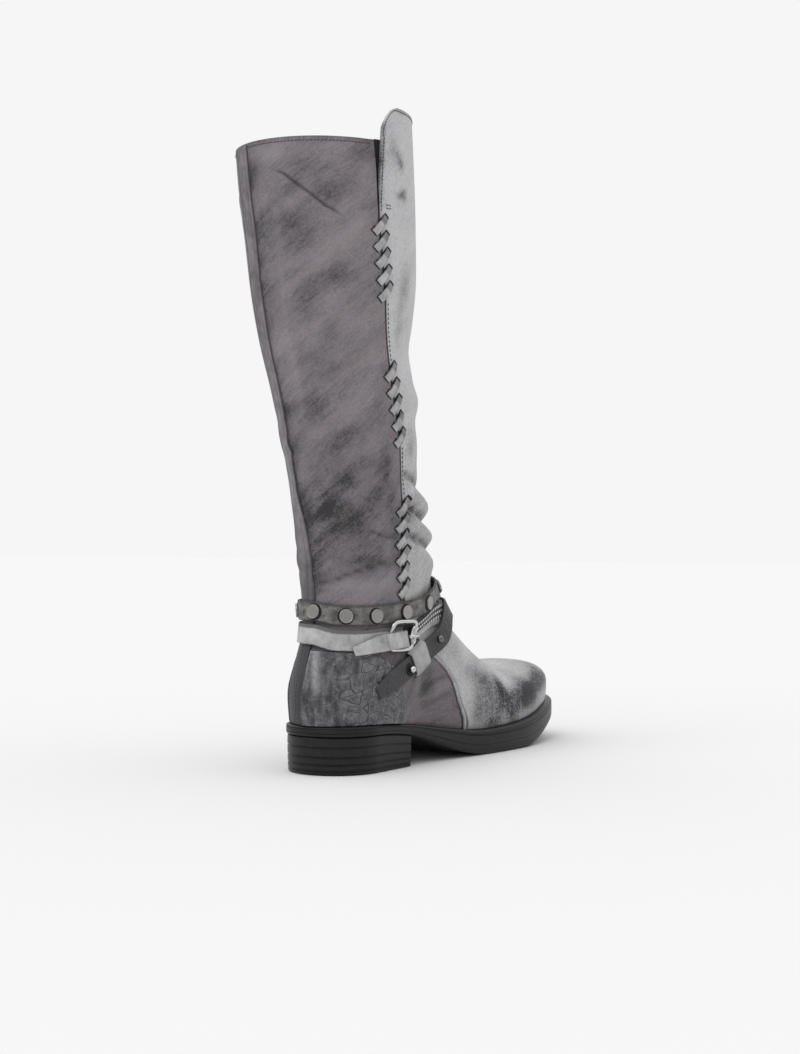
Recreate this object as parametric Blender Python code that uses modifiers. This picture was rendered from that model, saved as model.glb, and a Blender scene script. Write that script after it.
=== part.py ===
# Tall slouch boot with ankle straps, right foot.
# Frame: toe +X, outer (little-toe) side -Y, up +Z, origin on the floor under the heel centre.
# Sizes are in millimetres from the heel back, scaled to metres when the faces are made.
import bpy
import bmesh
import numpy as np
from mathutils import Vector

MM = 0.001

# Driving sizes
HEEL_CENTRE = 33.0
SOLE_LENGTH = 285.0
SOLE_TOE_START = 190.0
UPPER_TIP = 279.0
UPPER_BALL = 192.0
DOME_START = 236.0
WALL = 2.2
GAP = 0.3
BAND = 6.4
BREAST = 68.0
RIM = 385.0
TAB_RIM = 408.0
TAB_CORNER = 109.0
TAB_CORNER_WIDE = 18.0
TAB_CORNER_TALL = 34.0
SLIT_FRONT = 108.4
SLIT_BACK = 113.8
SLIT_FOOT = 341.0
JOIN = 122.0


def table(names, rows):
    columns = np.array(rows, float).T
    return dict(zip(names.split(), columns))


# Leg and heel: level slices by height
LEG = table("z back front outer inner shift", (
    (20, 4.0, 96, 30.5, 30.5, 0.0),
    (34, 1.0, 102, 32.5, 33.0, 0.0),
    (48, 0.0, 108, 33.5, 34.0, 0.0),
    (64, 4.0, 116, 32.0, 32.0, 0.5),
    (82, 11.5, 122, 30.0, 28.8, 1.5),
    (101, 15.8, 126, 32.0, 31.0, 2.8),
    (120, 16.5, 124, 34.8, 34.4, 3.8),
    (138, 17.0, 118, 36.5, 36.5, 4.5),
    (175, 14.0, 107, 37.5, 37.0, 6.0),
    (202, 10.0, 104, 40.0, 39.5, 7.5),
    (234, 4.0, 101, 43.0, 42.5, 9.5),
    (265, -3.0, 99, 46.5, 46.0, 12.0),
    (297, -8.0, 101, 50.5, 49.5, 13.5),
    (329, -11.0, 102, 53.0, 52.0, 14.5),
    (361, -14.0, 102, 54.5, 54.0, 16.0),
    (410, -16.5, 101, 55.0, 55.0, 18.0),
))

# Foot: upright sections by distance from the heel back
FOOT = table("a outer inner shift ridge widest power", (
    (30, 26.0, 26.0, 0.0, 80, 22, 2.2),
    (70, 29.5, 28.0, 0.0, 100, 22, 2.1),
    (100, 33.0, 28.0, 0.5, 112, 20, 2.0),
    (122, 36.5, 30.0, 1.0, 105, 17, 2.0),
    (140, 39.5, 33.5, 1.5, 90, 15, 2.0),
    (160, 42.5, 38.5, 2.0, 74, 14, 2.0),
    (180, 44.5, 42.5, 2.0, 61, 13, 2.1),
    (200, 44.5, 43.5, 2.0, 54, 12, 2.2),
    (218, 44.0, 43.5, 2.0, 54, 12, 2.3),
    (236, 43.5, 43.0, 2.0, 56, 12, 2.4),
    (280, 43.5, 43.0, 2.0, 56, 12, 2.4),
))

# Sole: outline, upper face and tread by distance from the heel back
SOLE = table("a outer inner shift top tread", (
    (0, 31.5, 31.0, 0.0, 29.5, 23.1),
    (33, 31.5, 31.0, 0.0, 29.2, 22.8),
    (68, 32.5, 29.5, 0.0, 26.4, 19.6),
    (91, 35.0, 27.5, 0.3, 23.0, 13.6),
    (114, 38.5, 28.5, 0.8, 19.6, 6.5),
    (135, 42.0, 32.0, 1.2, 17.0, 1.5),
    (150, 44.5, 36.5, 1.5, 16.2, 0.0),
    (180, 48.0, 45.0, 2.0, 17.2, 0.0),
    (198, 48.5, 47.5, 2.0, 18.6, 0.0),
    (209, 48.5, 48.0, 2.0, 20.0, 2.0),
    (245, 48.5, 48.0, 2.0, 26.0, 12.5),
    (285, 48.5, 48.0, 2.0, 29.5, 19.5),
))


def curve(q, xs, ys):
    q = np.clip(q, xs[0], xs[-1])
    step = np.diff(xs)
    rise = np.diff(ys) / step
    tangent = np.empty_like(ys)
    tangent[0] = rise[0]
    tangent[-1] = rise[-1]
    same = rise[:-1] * rise[1:] > 0
    before = np.where(same, rise[:-1], 1.0)
    after = np.where(same, rise[1:], 1.0)
    w1 = 2 * step[1:] + step[:-1]
    w2 = step[1:] + 2 * step[:-1]
    tangent[1:-1] = np.where(same, (w1 + w2) / (w1 / before + w2 / after), 0.0)
    i = np.clip(np.searchsorted(xs, q, side="right") - 1, 0, len(step) - 1)
    t = (q - xs[i]) / step[i]
    keep = (1 + 2 * t) * (1 - t) ** 2 * ys[i] + t * t * (3 - 2 * t) * ys[i + 1]
    lean = t * (1 - t) ** 2 * tangent[i] - t * t * (1 - t) * tangent[i + 1]
    return keep + step[i] * lean


def read(rows, key, name, q):
    return curve(np.asarray(q, float), rows[key], rows[name])


def cap(q, start, end, power):
    u = np.clip((q - start) / (end - start), 0.0, 1.0)
    return (1 - u ** power) ** (1 / power)


def smooth(q, start, end):
    u = np.clip((q - start) / (end - start), 0.0, 1.0)
    return u * u * (3 - 2 * u)


def sole_top(a):
    return read(SOLE, "a", "top", a)


def leg_axis(z):
    back = read(LEG, "z", "back", z)
    front = read(LEG, "z", "front", z)
    return 0.5 * (back + front), read(LEG, "z", "shift", z)


def leg_form(a, y, z):
    ca, cy = leg_axis(z)
    half = read(LEG, "z", "front", z) - ca
    da = a - ca
    dy = y - cy
    side = np.where(dy < 0, read(LEG, "z", "outer", z), read(LEG, "z", "inner", z))
    g = np.hypot(da / half, dy / side) + 1e-9
    return np.hypot(da, dy) * (1 - 1 / g)


def foot_form(a, y, z):
    end = cap(a, UPPER_BALL, UPPER_TIP, 2.1)
    dome = cap(a, DOME_START, UPPER_TIP, 2.2)
    low = sole_top(a) + read(FOOT, "a", "widest", a)
    high = np.maximum((read(FOOT, "a", "ridge", a) - low) * dome, 0.05)
    dy = y - read(FOOT, "a", "shift", a)
    side = np.where(dy < 0, read(FOOT, "a", "outer", a), read(FOOT, "a", "inner", a))
    side = np.maximum(side * end, 0.05)
    dz = z - low
    n = read(FOOT, "a", "power", a)
    tall = np.where(dz > 0, dz / high, dz / (3.0 * read(FOOT, "a", "widest", a)))
    g = (np.abs(dy / side) ** n + np.abs(tall) ** n) ** (1 / n) + 1e-9
    return np.hypot(dy, dz) * (1 - 1 / g) + 300.0 * smooth(45.0 - a, 0.0, 36.0)


def form(a, y, z):
    leg = leg_form(a, y, z)
    foot = foot_form(a, y, z)
    blend = 5.0 + 17.0 * smooth(a, 85, 125)
    h = np.maximum(blend - np.abs(leg - foot), 0.0) / blend
    return np.minimum(leg, foot) - h * h * blend * 0.25


def cast(start, way, far=190.0):
    near = np.zeros(start.shape[:-1])
    away = np.full(start.shape[:-1], far)
    for step in range(34):
        mid = 0.5 * (near + away)
        p = start + way * mid[..., None]
        inside = form(p[..., 0], p[..., 1], p[..., 2]) < 0
        near = np.where(inside, mid, near)
        away = np.where(inside, away, mid)
    return start + way * near[..., None]


def normal(p, level=False):
    a, y, z = p[..., 0], p[..., 1], p[..., 2]
    e = 0.6
    n = np.stack((
        form(a + e, y, z) - form(a - e, y, z),
        form(a, y + e, z) - form(a, y - e, z),
        form(a, y, z + e) - form(a, y, z - e)), -1)
    if level:
        n[..., 2] = 0.0
    return n / np.linalg.norm(n, axis=-1, keepdims=True)


# Points of the outer surface round the leg: angle 0 front, 90 outer side, 180 back, height z
def leg_points(angle, z):
    angle = np.radians(np.asarray(angle, float))
    z = np.asarray(z, float) + 0.0 * angle
    angle = angle + 0.0 * z
    ca, cy = leg_axis(z)
    start = np.stack((ca, cy, z), -1)
    way = np.stack((np.cos(angle), -np.sin(angle), 0.0 * z), -1)
    return cast(start, way)


# Points of the outer surface at the feather edge, just above the sole
def feather_points(angle, lift=GAP):
    z = np.full(np.shape(angle), 25.0)
    for step in range(12):
        p = leg_points(angle, z)
        z = sole_top(p[..., 0]) + lift
    p[..., 2] = z
    return p


# Points over an upright section at a, from the outer feather edge over the ridge to the inner one
def section_points(a, half):
    low = sole_top(a)
    cy = float(read(FOOT, "a", "shift", a))
    base = np.array((a, cy, low + GAP))
    peak = cast(base, np.array((0.0, 0.0, 1.0)))
    middle = np.array((a, cy, low + GAP + 0.3 * (peak[2] - low)))
    points = []
    for side in (-1.0, 1.0):
        edge = cast(base, np.array((0.0, side, 0.0)))
        slope = np.arctan2(edge[2] - middle[2], side * (edge[1] - cy))
        turn = slope + (0.5 * np.pi - slope) * np.linspace(0, 1, half + 1)
        way = np.stack((0 * turn, side * np.cos(turn), np.sin(turn)), -1)
        row = cast(np.broadcast_to(middle, way.shape), way)
        row[0] = edge
        row[-1] = peak
        points.append(row)
    return np.concatenate((points[0], points[1][-2::-1]))


def rim_height(angle):
    turn = np.where(angle > 180, angle - 360, angle)
    off = np.maximum(TAB_CORNER - turn, 0.0) * 0.95
    short = np.maximum(1 - off / TAB_CORNER_WIDE, 0.0)
    drop = TAB_CORNER_TALL * (1 - np.sqrt(1 - short ** 2))
    front = RIM + (TAB_RIM - RIM) * smooth(turn, -75.0, 60.0) - drop
    return np.where((turn < TAB_CORNER) & (turn > -75.0), front, RIM)


# Outer surface of the upper as rows of points, bottom to top, and sections to the toe
def upper_rows(spans, half, rings, sections):
    turns = [np.linspace(lo, hi, n, endpoint=False) for lo, hi, n in spans]
    share = np.concatenate(turns + [np.array((360.0,))]) / 360.0
    joint = section_points(JOIN, half)
    lean = np.sin(np.pi * share) ** 1.5
    top_front = joint[half, 2]
    waist = top_front * (1 - lean) + (top_front + 8.0) * lean
    ca, cy = leg_axis(joint[:, 2])
    aim = np.degrees(np.arctan2(np.abs(joint[:, 1] - cy), joint[:, 0] - ca))
    rows = []
    for j in range(half + 1):
        left = aim[j]
        right = aim[2 * half - j]
        angle = left + (360.0 - left - right) * share
        if j == 0:
            row = feather_points(angle)
        else:
            rise = (joint[j, 2] - joint[0, 2]) / (top_front - joint[0, 2])
            part = rise * (1 - lean) + (j / half) * lean
            level = rows[0][:, 2] + part * (waist - rows[0][:, 2])
            row = leg_points(angle, level)
        row[0] = joint[j]
        row[-1] = joint[2 * half - j]
        rows.append(row)
    angle = 360.0 * share
    for u in np.linspace(0, 1, rings + 1)[1:]:
        row = leg_points(angle, waist + u * (rim_height(angle) - waist))
        row[-1] = row[0]
        rows.append(row)
    body = UPPER_TIP - 34.0
    plain = JOIN + (body - JOIN) * np.linspace(0, 1, sections + 1)[1:] ** 1.3
    sweep = np.linspace(0, 0.5 * np.pi, sections // 2 + 2)[1:-1]
    stations = np.concatenate((plain, body + (UPPER_TIP - body) * np.sin(sweep)))
    fan = [joint] + [section_points(a, half) for a in stations]
    tip = np.array((UPPER_TIP, float(read(FOOT, "a", "shift", UPPER_TIP)),
                    float(sole_top(UPPER_TIP)) + GAP))
    return rows, fan, tip


def inset(p, depth, level):
    return p - depth * normal(p, level)


def collection(name):
    made = bpy.data.collections.new(name)
    bpy.context.scene.collection.children.link(made)
    return made


for old in list(bpy.data.objects):
    bpy.data.objects.remove(old, do_unlink=True)
BOOT = collection("strap_boot")
CUTTERS = collection("cutters")


def material(name, colour, rough, metal=0.0):
    made = bpy.data.materials.new(name)
    made.use_nodes = True
    shader = made.node_tree.nodes["Principled BSDF"]
    shader.inputs["Base Color"].default_value = (*colour, 1.0)
    shader.inputs["Roughness"].default_value = rough
    shader.inputs["Metallic"].default_value = metal
    return made


def solid(name, points, faces, look, group=None):
    place = (points - np.array((HEEL_CENTRE, 0.0, 0.0))) * MM
    mesh = bpy.data.meshes.new(name)
    mesh.from_pydata(place.tolist(), [], faces)
    bm = bmesh.new()
    bm.from_mesh(mesh)
    bmesh.ops.remove_doubles(bm, verts=bm.verts, dist=1e-6)
    bmesh.ops.recalc_face_normals(bm, faces=bm.faces)
    bm.to_mesh(mesh)
    bm.free()
    made = bpy.data.objects.new(name, mesh)
    (group or BOOT).objects.link(made)
    if look:
        made.data.materials.append(look)
    return made


# Closed solid between two like grids of points
def between(name, low, high, look, loop=False):
    rows, cols = low.shape[:2]
    count = rows * cols
    points = np.concatenate((low.reshape(-1, 3), high.reshape(-1, 3)))
    faces = []
    last = cols if loop else cols - 1

    def at(r, c, side):
        return side * count + r * cols + c % cols

    for r in range(rows - 1):
        for c in range(last):
            quad = (at(r, c, 0), at(r, c + 1, 0), at(r + 1, c + 1, 0), at(r + 1, c, 0))
            faces.append(quad)
            faces.append(tuple(q + count for q in reversed(quad)))
    for r in (0, rows - 1):
        for c in range(last):
            faces.append((at(r, c, 0), at(r, c + 1, 0), at(r, c + 1, 1), at(r, c, 1)))
    if not loop:
        for c in (0, cols - 1):
            for r in range(rows - 1):
                faces.append((at(r, c, 0), at(r + 1, c, 0), at(r + 1, c, 1), at(r, c, 1)))
    return solid(name, points, faces, look)


# Solid with a ladder of stations along the foot: paired outer and inner outlines at each level
def ladder(name, levels, look, breast=False):
    stack = np.array(levels)
    count, stations = stack.shape[0], stack.shape[1]
    points = stack.reshape(-1, 3)
    faces = []

    def at(level, station, side):
        return (level * stations + station) * 2 + side

    for station in range(stations - 1):
        for level in range(count - 1):
            for side in (0, 1):
                faces.append((at(level, station, side), at(level, station + 1, side),
                              at(level + 1, station + 1, side), at(level + 1, station, side)))
        for level in (0, count - 1):
            faces.append((at(level, station, 0), at(level, station + 1, 0),
                          at(level, station + 1, 1), at(level, station, 1)))
    for station in (0, stations - 1):
        for level in range(count - 1):
            faces.append((at(level, station, 0), at(level, station, 1),
                          at(level + 1, station, 1), at(level + 1, station, 0)))
    return solid(name, points.reshape(-1, 3), faces, look)


def sole_sides(a, inward):
    end = cap(a, SOLE_TOE_START, SOLE_LENGTH, 2.0)
    heel = cap(HEEL_CENTRE - a, 0.0, HEEL_CENTRE, 2.1)
    shift = read(SOLE, "a", "shift", a)
    outer = read(SOLE, "a", "outer", a) * end * heel
    inner = read(SOLE, "a", "inner", a) * end * heel
    return shift - np.maximum(outer - inward, 0.6), shift + np.maximum(inner - inward, 0.6)


def sole_level(stations, inward, height):
    a = stations
    squeeze = inward * ((a - 142.0) / 142.0) ** 9
    outer, inner = sole_sides(a, inward)
    z = height(a)
    left = np.stack((a - squeeze, outer, z), -1)
    right = np.stack((a - squeeze, inner, z), -1)
    return np.stack((left, right), 1)


LEATHER = material("distressed_leather", (0.30, 0.29, 0.30), 0.65)
RUBBER = material("sole_rubber", (0.03, 0.03, 0.033), 0.6)
LINING = material("insole_leather", (0.35, 0.28, 0.20), 0.8)

# Sole: one plate from heel to toe, thick under the forefoot, with a groove round its edge
round_heel = HEEL_CENTRE * (1 - np.cos(np.linspace(0.12, 0.5 * np.pi, 8)))
waist_run = np.linspace(HEEL_CENTRE, 215.0, 22)[1:]
round_toe = 215.0 + (SOLE_LENGTH - 215.0) * np.sin(np.linspace(0, 0.5 * np.pi - 0.09, 12))[1:]
RUN = np.concatenate((round_heel, waist_run, round_toe))
EDGE = table("share inward", ((0, 1.2), (0.08, 0.2), (0.30, 0.0), (0.36, 1.0), (0.44, 1.0),
                              (0.50, 0.0), (0.90, 0.2), (1, 1.4)))


def edge_height(share):
    return lambda a: sole_top(a) + share * (read(SOLE, "a", "tread", a) - sole_top(a))


sole_stack = [sole_level(RUN, i, edge_height(s)) for s, i in zip(EDGE["share"], EDGE["inward"])]
ladder("outsole", sole_stack, RUBBER)

# Heel: block under the sole with level grooves and an upright breast
HEEL_EDGE = table("share inward", ((0, 1.0), (0.16, 1.0), (0.20, 1.9), (0.27, 1.9), (0.31, 1.0),
                                   (0.46, 1.1), (0.50, 1.9), (0.56, 1.9), (0.60, 1.1),
                                   (0.74, 1.2), (0.78, 2.0), (0.84, 2.0), (0.88, 1.2),
                                   (0.96, 1.4), (1, 2.2)))
HEEL_RUN = np.concatenate((round_heel, np.linspace(HEEL_CENTRE, BREAST, 5)[1:]))


def heel_height(share):
    return lambda a: (1 - share) * (read(SOLE, "a", "tread", a) - GAP)


heel_stack = [sole_level(HEEL_RUN, i, heel_height(s)) for s, i in zip(HEEL_EDGE["share"], HEEL_EDGE["inward"])]
ladder("heel", heel_stack, RUBBER)

# Upper: vamp, quarters, shaft and front panel as one hollow wall
SPANS = ((0.0, 90.0, 8), (90.0, 98.0, 2), (98.0, 107.9, 3), (107.9, 114.3, 1), (114.3, 166.0, 6),
         (166.0, 202.0, 6), (202.0, 270.0, 7), (270.0, 360.0, 8))
HALF = 8
RINGS = 14
SECTIONS = 10


def upper_wall(name, look):
    rows, fan, tip = upper_rows(SPANS, HALF, RINGS, SECTIONS)
    points = []
    cols = len(rows[0])
    for depth in (0.0, WALL):
        for j, row in enumerate(rows):
            flat = j == 0 or j == len(rows) - 1
            points.append(inset(row, depth, flat) if depth else row)
        for ring in fan[1:]:
            moved = inset(ring, depth, False) if depth else ring.copy()
            if depth:
                ends = inset(ring, depth, True)
                moved[0] = ends[0]
                moved[-1] = ends[-1]
            points.append(moved)
        points.append((tip - np.array((depth, 0.0, 0.0)))[None])
    flat = np.concatenate(points)
    size = len(flat) // 2
    wide = 2 * HALF + 1
    body = len(rows) * cols
    closed = HALF

    def leg(j, i):
        return j * cols + i

    def vamp(r, k):
        if r == 0:
            return leg(k, 0) if k <= HALF else leg(2 * HALF - k, cols - 1)
        return body + (r - 1) * wide + k

    pole = size - 1
    faces = []
    for j in range(len(rows) - 1):
        for i in range(cols - 1):
            faces.append((leg(j, i), leg(j, i + 1), leg(j + 1, i + 1), leg(j + 1, i)))
    for r in range(len(fan) - 1):
        for k in range(wide - 1):
            faces.append((vamp(r, k), vamp(r, k + 1), vamp(r + 1, k + 1), vamp(r + 1, k)))
    last = len(fan) - 1
    for k in range(wide - 1):
        faces.append((vamp(last, k), vamp(last, k + 1), pole))
    faces += [tuple(q + size for q in reversed(face)) for face in faces]
    top = len(rows) - 1
    rim = [(leg(top, i), leg(top, i + 1)) for i in range(cols - 1)]
    rim += [(leg(0, i + 1), leg(0, i)) for i in range(cols - 1)]
    for k in (0, wide - 1):
        chain = [vamp(r, k) for r in range(len(fan))] + [pole]
        rim += list(zip(chain[:-1], chain[1:]))
    for p, q in rim:
        faces.append((p, q, q + size, p + size))
    return solid(name, flat, faces, look)


UPPER = upper_wall("upper", LEATHER)


# Points on or off the outer surface by angle and height
def skin(angle, z, lift):
    p = leg_points(angle, z)
    return p + normal(p) * np.asarray(lift, float)[..., None]


def reseat(p, lift):
    ca, cy = leg_axis(p[..., 2])
    angle = np.degrees(np.arctan2(cy - p[..., 1], p[..., 0] - ca))
    return skin(angle, p[..., 2], lift)


# Slit at the outer side of the collar, wider at the rim
slit_z = np.array((SLIT_FOOT, RIM, 415.0))[:, None]
slit_mid = 0.5 * (SLIT_FRONT + SLIT_BACK)
slit_half = 0.5 * (SLIT_BACK - SLIT_FRONT) * (slit_z - SLIT_FOOT + 3.0) / (RIM - SLIT_FOOT + 3.0)
slit_angle = slit_mid + slit_half * np.array((-1.0, 1.0))
slit_far = skin(slit_angle, slit_z + 0 * slit_angle, 7.0 + 0 * slit_angle)
slit_near = skin(slit_angle, slit_z + 0 * slit_angle, -9.0 + 0 * slit_angle)
CUT = between("slit_cutter", slit_near, slit_far, None)
BOOT.objects.unlink(CUT)
CUTTERS.objects.link(CUT)
CUT.hide_render = True
CUT.display_type = 'WIRE'
cut = UPPER.modifiers.new("slit", 'BOOLEAN')
cut.operation = 'DIFFERENCE'
cut.solver = 'EXACT'
cut.object = CUT

# Insole lying on the sole inside the wall
turn = np.linspace(0.03, np.pi - 0.03, 30)
BED_BACK = 4.3
BED_TIP = UPPER_TIP - 0.5
bed = BED_BACK + (BED_TIP - BED_BACK) * 0.5 * (1 - np.cos(turn))


def insole_level(lift):
    sides = []
    for side in (-1.0, 1.0):
        start = np.stack((bed, read(FOOT, "a", "shift", bed), sole_top(bed) + GAP), -1)
        way = np.zeros_like(start)
        way[:, 1] = side
        p = inset(cast(start, way), WALL + 0.6, True)
        p[:, 2] = sole_top(p[:, 0]) + lift
        sides.append(p)
    return np.stack(sides, 1)


ladder("insole", [insole_level(GAP), insole_level(GAP + 2.5)], LINING)

STUD = material("strap_leather_brown", (0.15, 0.14, 0.135), 0.7)
PALE = material("strap_leather_pale", (0.34, 0.33, 0.33), 0.7)
DARK = material("strap_leather_dark", (0.06, 0.058, 0.06), 0.6)
STEEL = material("polished_steel", (0.75, 0.75, 0.75), 0.2, 1.0)
WOVEN = material("woven_metal_fabric", (0.3, 0.3, 0.3), 0.4, 0.6)
ELASTIC = material("black_elastic", (0.01, 0.01, 0.01), 0.9)

# Elastic gore behind the slit
gore_z = np.linspace(SLIT_FOOT - 4.0, RIM - 5.0, 5)[:, None]
gore_turn = slit_mid + np.linspace(-1, 1, 4) * (2.0 + 5.0 * (gore_z - SLIT_FOOT + 4.0) / 43.0)
gore_z = gore_z + 0 * gore_turn
between("gore", skin(gore_turn, gore_z, 0 * gore_z - WALL - 1.4),
        skin(gore_turn, gore_z, 0 * gore_z - WALL - 0.5), ELASTIC)

# Straps round the ankle: lower edge and stand-off by angle
HOOP = table("angle stud_z stud_off belt_z belt_off", (
    (-180, 92.3, 2.3, 77.5, 2.3),
    (-150, 93.0, 2.3, 79.0, 2.3),
    (-130, 93.5, 0.5, 79.5, 0.5),
    (-90, 95.0, 0.6, 80.0, 0.6),
    (-60, 98.0, 1.2, 82.0, 1.1),
    (-30, 102.5, 2.0, 86.0, 1.8),
    (0, 105.5, 2.5, 89.0, 1.6),
    (30, 103.0, 2.8, 88.0, 1.2),
    (57, 97.5, 3.0, 82.5, 0.9),
    (81, 94.0, 2.6, 77.5, 0.6),
    (111, 91.4, 1.6, 75.6, 0.5),
    (135, 90.0, 0.6, 75.2, 0.5),
    (151, 89.6, 0.5, 74.2, 0.5),
    (166, 90.0, 0.6, 74.5, 0.6),
    (180, 92.3, 2.3, 77.5, 2.3),
))
STRAP_TALL = 12.4
STRAP_THICK = 1.4
AROUND = np.linspace(-180.0, 180.0, 53)[:-1]


def hoop(kind, angle, up, lift):
    z = read(HOOP, "angle", kind + "_z", angle) + up
    return skin(angle, z, read(HOOP, "angle", kind + "_off", angle) + lift)


def hoop_grid(kind, angle, heights, lift):
    low = hoop(kind, angle, 0.0, lift)
    high = hoop(kind, angle, STRAP_TALL, lift)
    return np.stack([low + (high - low) * up / STRAP_TALL for up in heights])


def hoop_band(name, kind, look):
    heights = (0.0, STRAP_TALL)
    return between(name, hoop_grid(kind, AROUND, heights, 0.0),
                   hoop_grid(kind, AROUND, heights, STRAP_THICK), look, loop=True)


hoop_band("stud_strap", "stud", STUD)
hoop_band("buckle_strap", "belt", PALE)


def frame_at(kind, angle, up, lift):
    here = hoop(kind, np.array(angle), up, lift)
    ahead = hoop(kind, np.array(angle - 2.0), up, lift)
    above = hoop(kind, np.array(angle), up + 1.0, lift)
    along = (ahead - here) / np.linalg.norm(ahead - here)
    out = np.cross(along, above - here)
    out = out / np.linalg.norm(out)
    return here, along, out, np.cross(out, along)


def disc(name, spot, out, radius, tall, look, sides, rounded):
    place = (spot + out * 0.5 * tall - np.array((HEEL_CENTRE, 0.0, 0.0))) * MM
    aim = Vector(out.tolist()).to_track_quat('Z', 'Y').to_euler()
    bpy.ops.mesh.primitive_cylinder_add(vertices=sides, radius=radius * MM, depth=tall * MM,
                                        location=place.tolist(), rotation=aim)
    made = bpy.context.object
    made.name = name
    if rounded:
        bevel = made.modifiers.new("edge", 'BEVEL')
        bevel.width = 0.3 * tall * MM
        bevel.segments = 1
        bevel.angle_limit = 0.9
    for holder in list(made.users_collection):
        holder.objects.unlink(made)
    BOOT.objects.link(made)
    made.data.materials.append(look)
    return made


STUD_ANGLES = (-179.5, 162.5, 141.0, 105.0, 62.0, 20.0, -20.0, -60.0, -97.0, -128.0, -155.0)
for i, angle in enumerate(STUD_ANGLES):
    bend = 0.35 if abs(angle) < 40.0 or abs(angle) > 178.0 else 0.0
    spot, along, out, up = frame_at("stud", angle, 0.46 * STRAP_TALL, STRAP_THICK + GAP + bend)
    disc("stud_%02d" % (i + 1), spot, out, 4.7, 1.8, STEEL, 14, False)


# Straps and seams laid along a path of angle, height, stand-off and width
def path(rows, count):
    t = np.linspace(0.0, 1.0, count)
    keys = np.linspace(0.0, 1.0, len(rows["angle"]))
    return [curve(t, keys, rows[name]) for name in ("angle", "z", "lift", "wide")]


def ribbon(name, rows, count, thick, look, across=3):
    angle, z, lift, wide = path(rows, count)
    centre = leg_points(angle, z)
    along = np.gradient(centre, axis=0)
    side = np.cross(normal(centre), along)
    side = side / np.linalg.norm(side, axis=-1, keepdims=True)
    low = []
    high = []
    for u in np.linspace(-0.5, 0.5, across):
        p = centre + side * (u * wide)[:, None]
        low.append(reseat(p, lift))
        high.append(reseat(p, lift + thick))
    return between(name, np.stack(low), np.stack(high), look)


# Free end of the pale strap, over the back bar of the buckle and pointing backward
STRAP_END = table("angle z lift wide", (
    (97, 80.2, 5.3, 11.6),
    (110, 79.8, 5.3, 11.8),
    (122, 79.2, 5.3, 11.8),
    (132, 78.4, 4.6, 11.8),
    (140, 77.2, 3.1, 10.4),
    (148, 75.4, 2.4, 8.4),
    (155.5, 73.6, 2.4, 6.2),
))
ribbon("strap_end", STRAP_END, 15, 1.3, PALE)

# Woven metal strip laid on the front of the pale strap
mesh_turn = AROUND[(AROUND > 3.0) & (AROUND < 80.0)]
mesh_heights = (3.6, 8.0, 12.2)
between("mesh_strip", hoop_grid("belt", mesh_turn, mesh_heights, STRAP_THICK + GAP),
        hoop_grid("belt", mesh_turn, mesh_heights, STRAP_THICK + GAP + 0.7), WOVEN)

# Dark strap crossing from the front over the outer ankle to its free end
CROSS = table("angle z lift wide", (
    (-58, 89.0, 3.4, 12.0),
    (-30, 93.5, 5.0, 12.6),
    (0, 96.5, 4.9, 12.8),
    (24, 94.5, 4.6, 12.8),
    (37, 79.0, 3.7, 12.8),
    (50, 71.5, 2.2, 12.8),
    (68, 65.5, 2.0, 12.8),
    (90, 61.5, 2.0, 12.6),
    (112, 55.5, 2.0, 11.4),
    (127, 49.5, 2.0, 8.0),
))
ribbon("cross_strap", CROSS, 30, 1.3, DARK)

# Pale loop over the dark strap
LOOP = table("angle z lift wide", (
    (52, 70.9, 3.9, 15.4),
    (60, 68.1, 3.9, 15.4),
    (68, 65.6, 3.9, 15.4),
    (76, 63.8, 3.9, 15.4),
))
ribbon("cross_loop", LOOP, 7, 1.1, PALE)

# Raised seam where the vamp meets the outer quarter
SEAM = table("angle z lift wide", (
    (23.6, 18.6, 0.3, 3.0),
    (25.0, 26.0, 0.3, 3.0),
    (27.1, 37.0, 0.3, 3.0),
    (28.8, 49.0, 0.3, 3.0),
    (32.4, 59.0, 0.3, 3.0),
    (38.6, 66.5, 0.3, 3.0),
    (43.0, 69.5, 0.3, 3.0),
))
ribbon("vamp_seam", SEAM, 13, 0.9, LEATHER, across=2)

# Back strip from the sole to the collar
STRIP = table("z edge wide", (
    (29, 187.0, 15.0),
    (60, 183.5, 15.0),
    (76, 182.5, 15.0),
    (100, 182.0, 15.0),
    (118, 183.0, 15.0),
    (153, 190.5, 15.0),
    (175, 198.0, 15.0),
    (222, 199.5, 15.0),
    (309, 198.5, 15.0),
    (385, 200.5, 15.0),
))
strip_z = np.concatenate((np.linspace(30.2, 94.0, 12)[:-1], np.linspace(94.0, RIM - 2.0, 17)))
strip_grid = []
for u in np.linspace(0, 1, 5):
    girth = np.degrees(read(STRIP, "z", "wide", strip_z) / read(LEG, "z", "inner", strip_z))
    strip_grid.append(read(STRIP, "z", "edge", strip_z) + u * girth)
strip_turn = np.stack(strip_grid)
strip_tall = strip_z + 0 * strip_turn
strip_lift = 0.5 + 0.25 * (smooth(strip_tall, 64.0, 76.0) - smooth(strip_tall, 96.0, 112.0))
between("back_strip", skin(strip_turn, strip_tall, strip_lift),
        skin(strip_turn, strip_tall, strip_lift + 1.0), LEATHER)

# Heel counter, outer and inner halves, each side of the back strip
COUNTER = table("front_angle front_z back_z", (
    (77.0, 27.4, 29.8),
    (83.6, 41.0, 41.0),
    (92.5, 49.3, 52.0),
    (111.0, 63.5, 64.0),
    (128.0, 69.5, 74.5),
))


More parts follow.
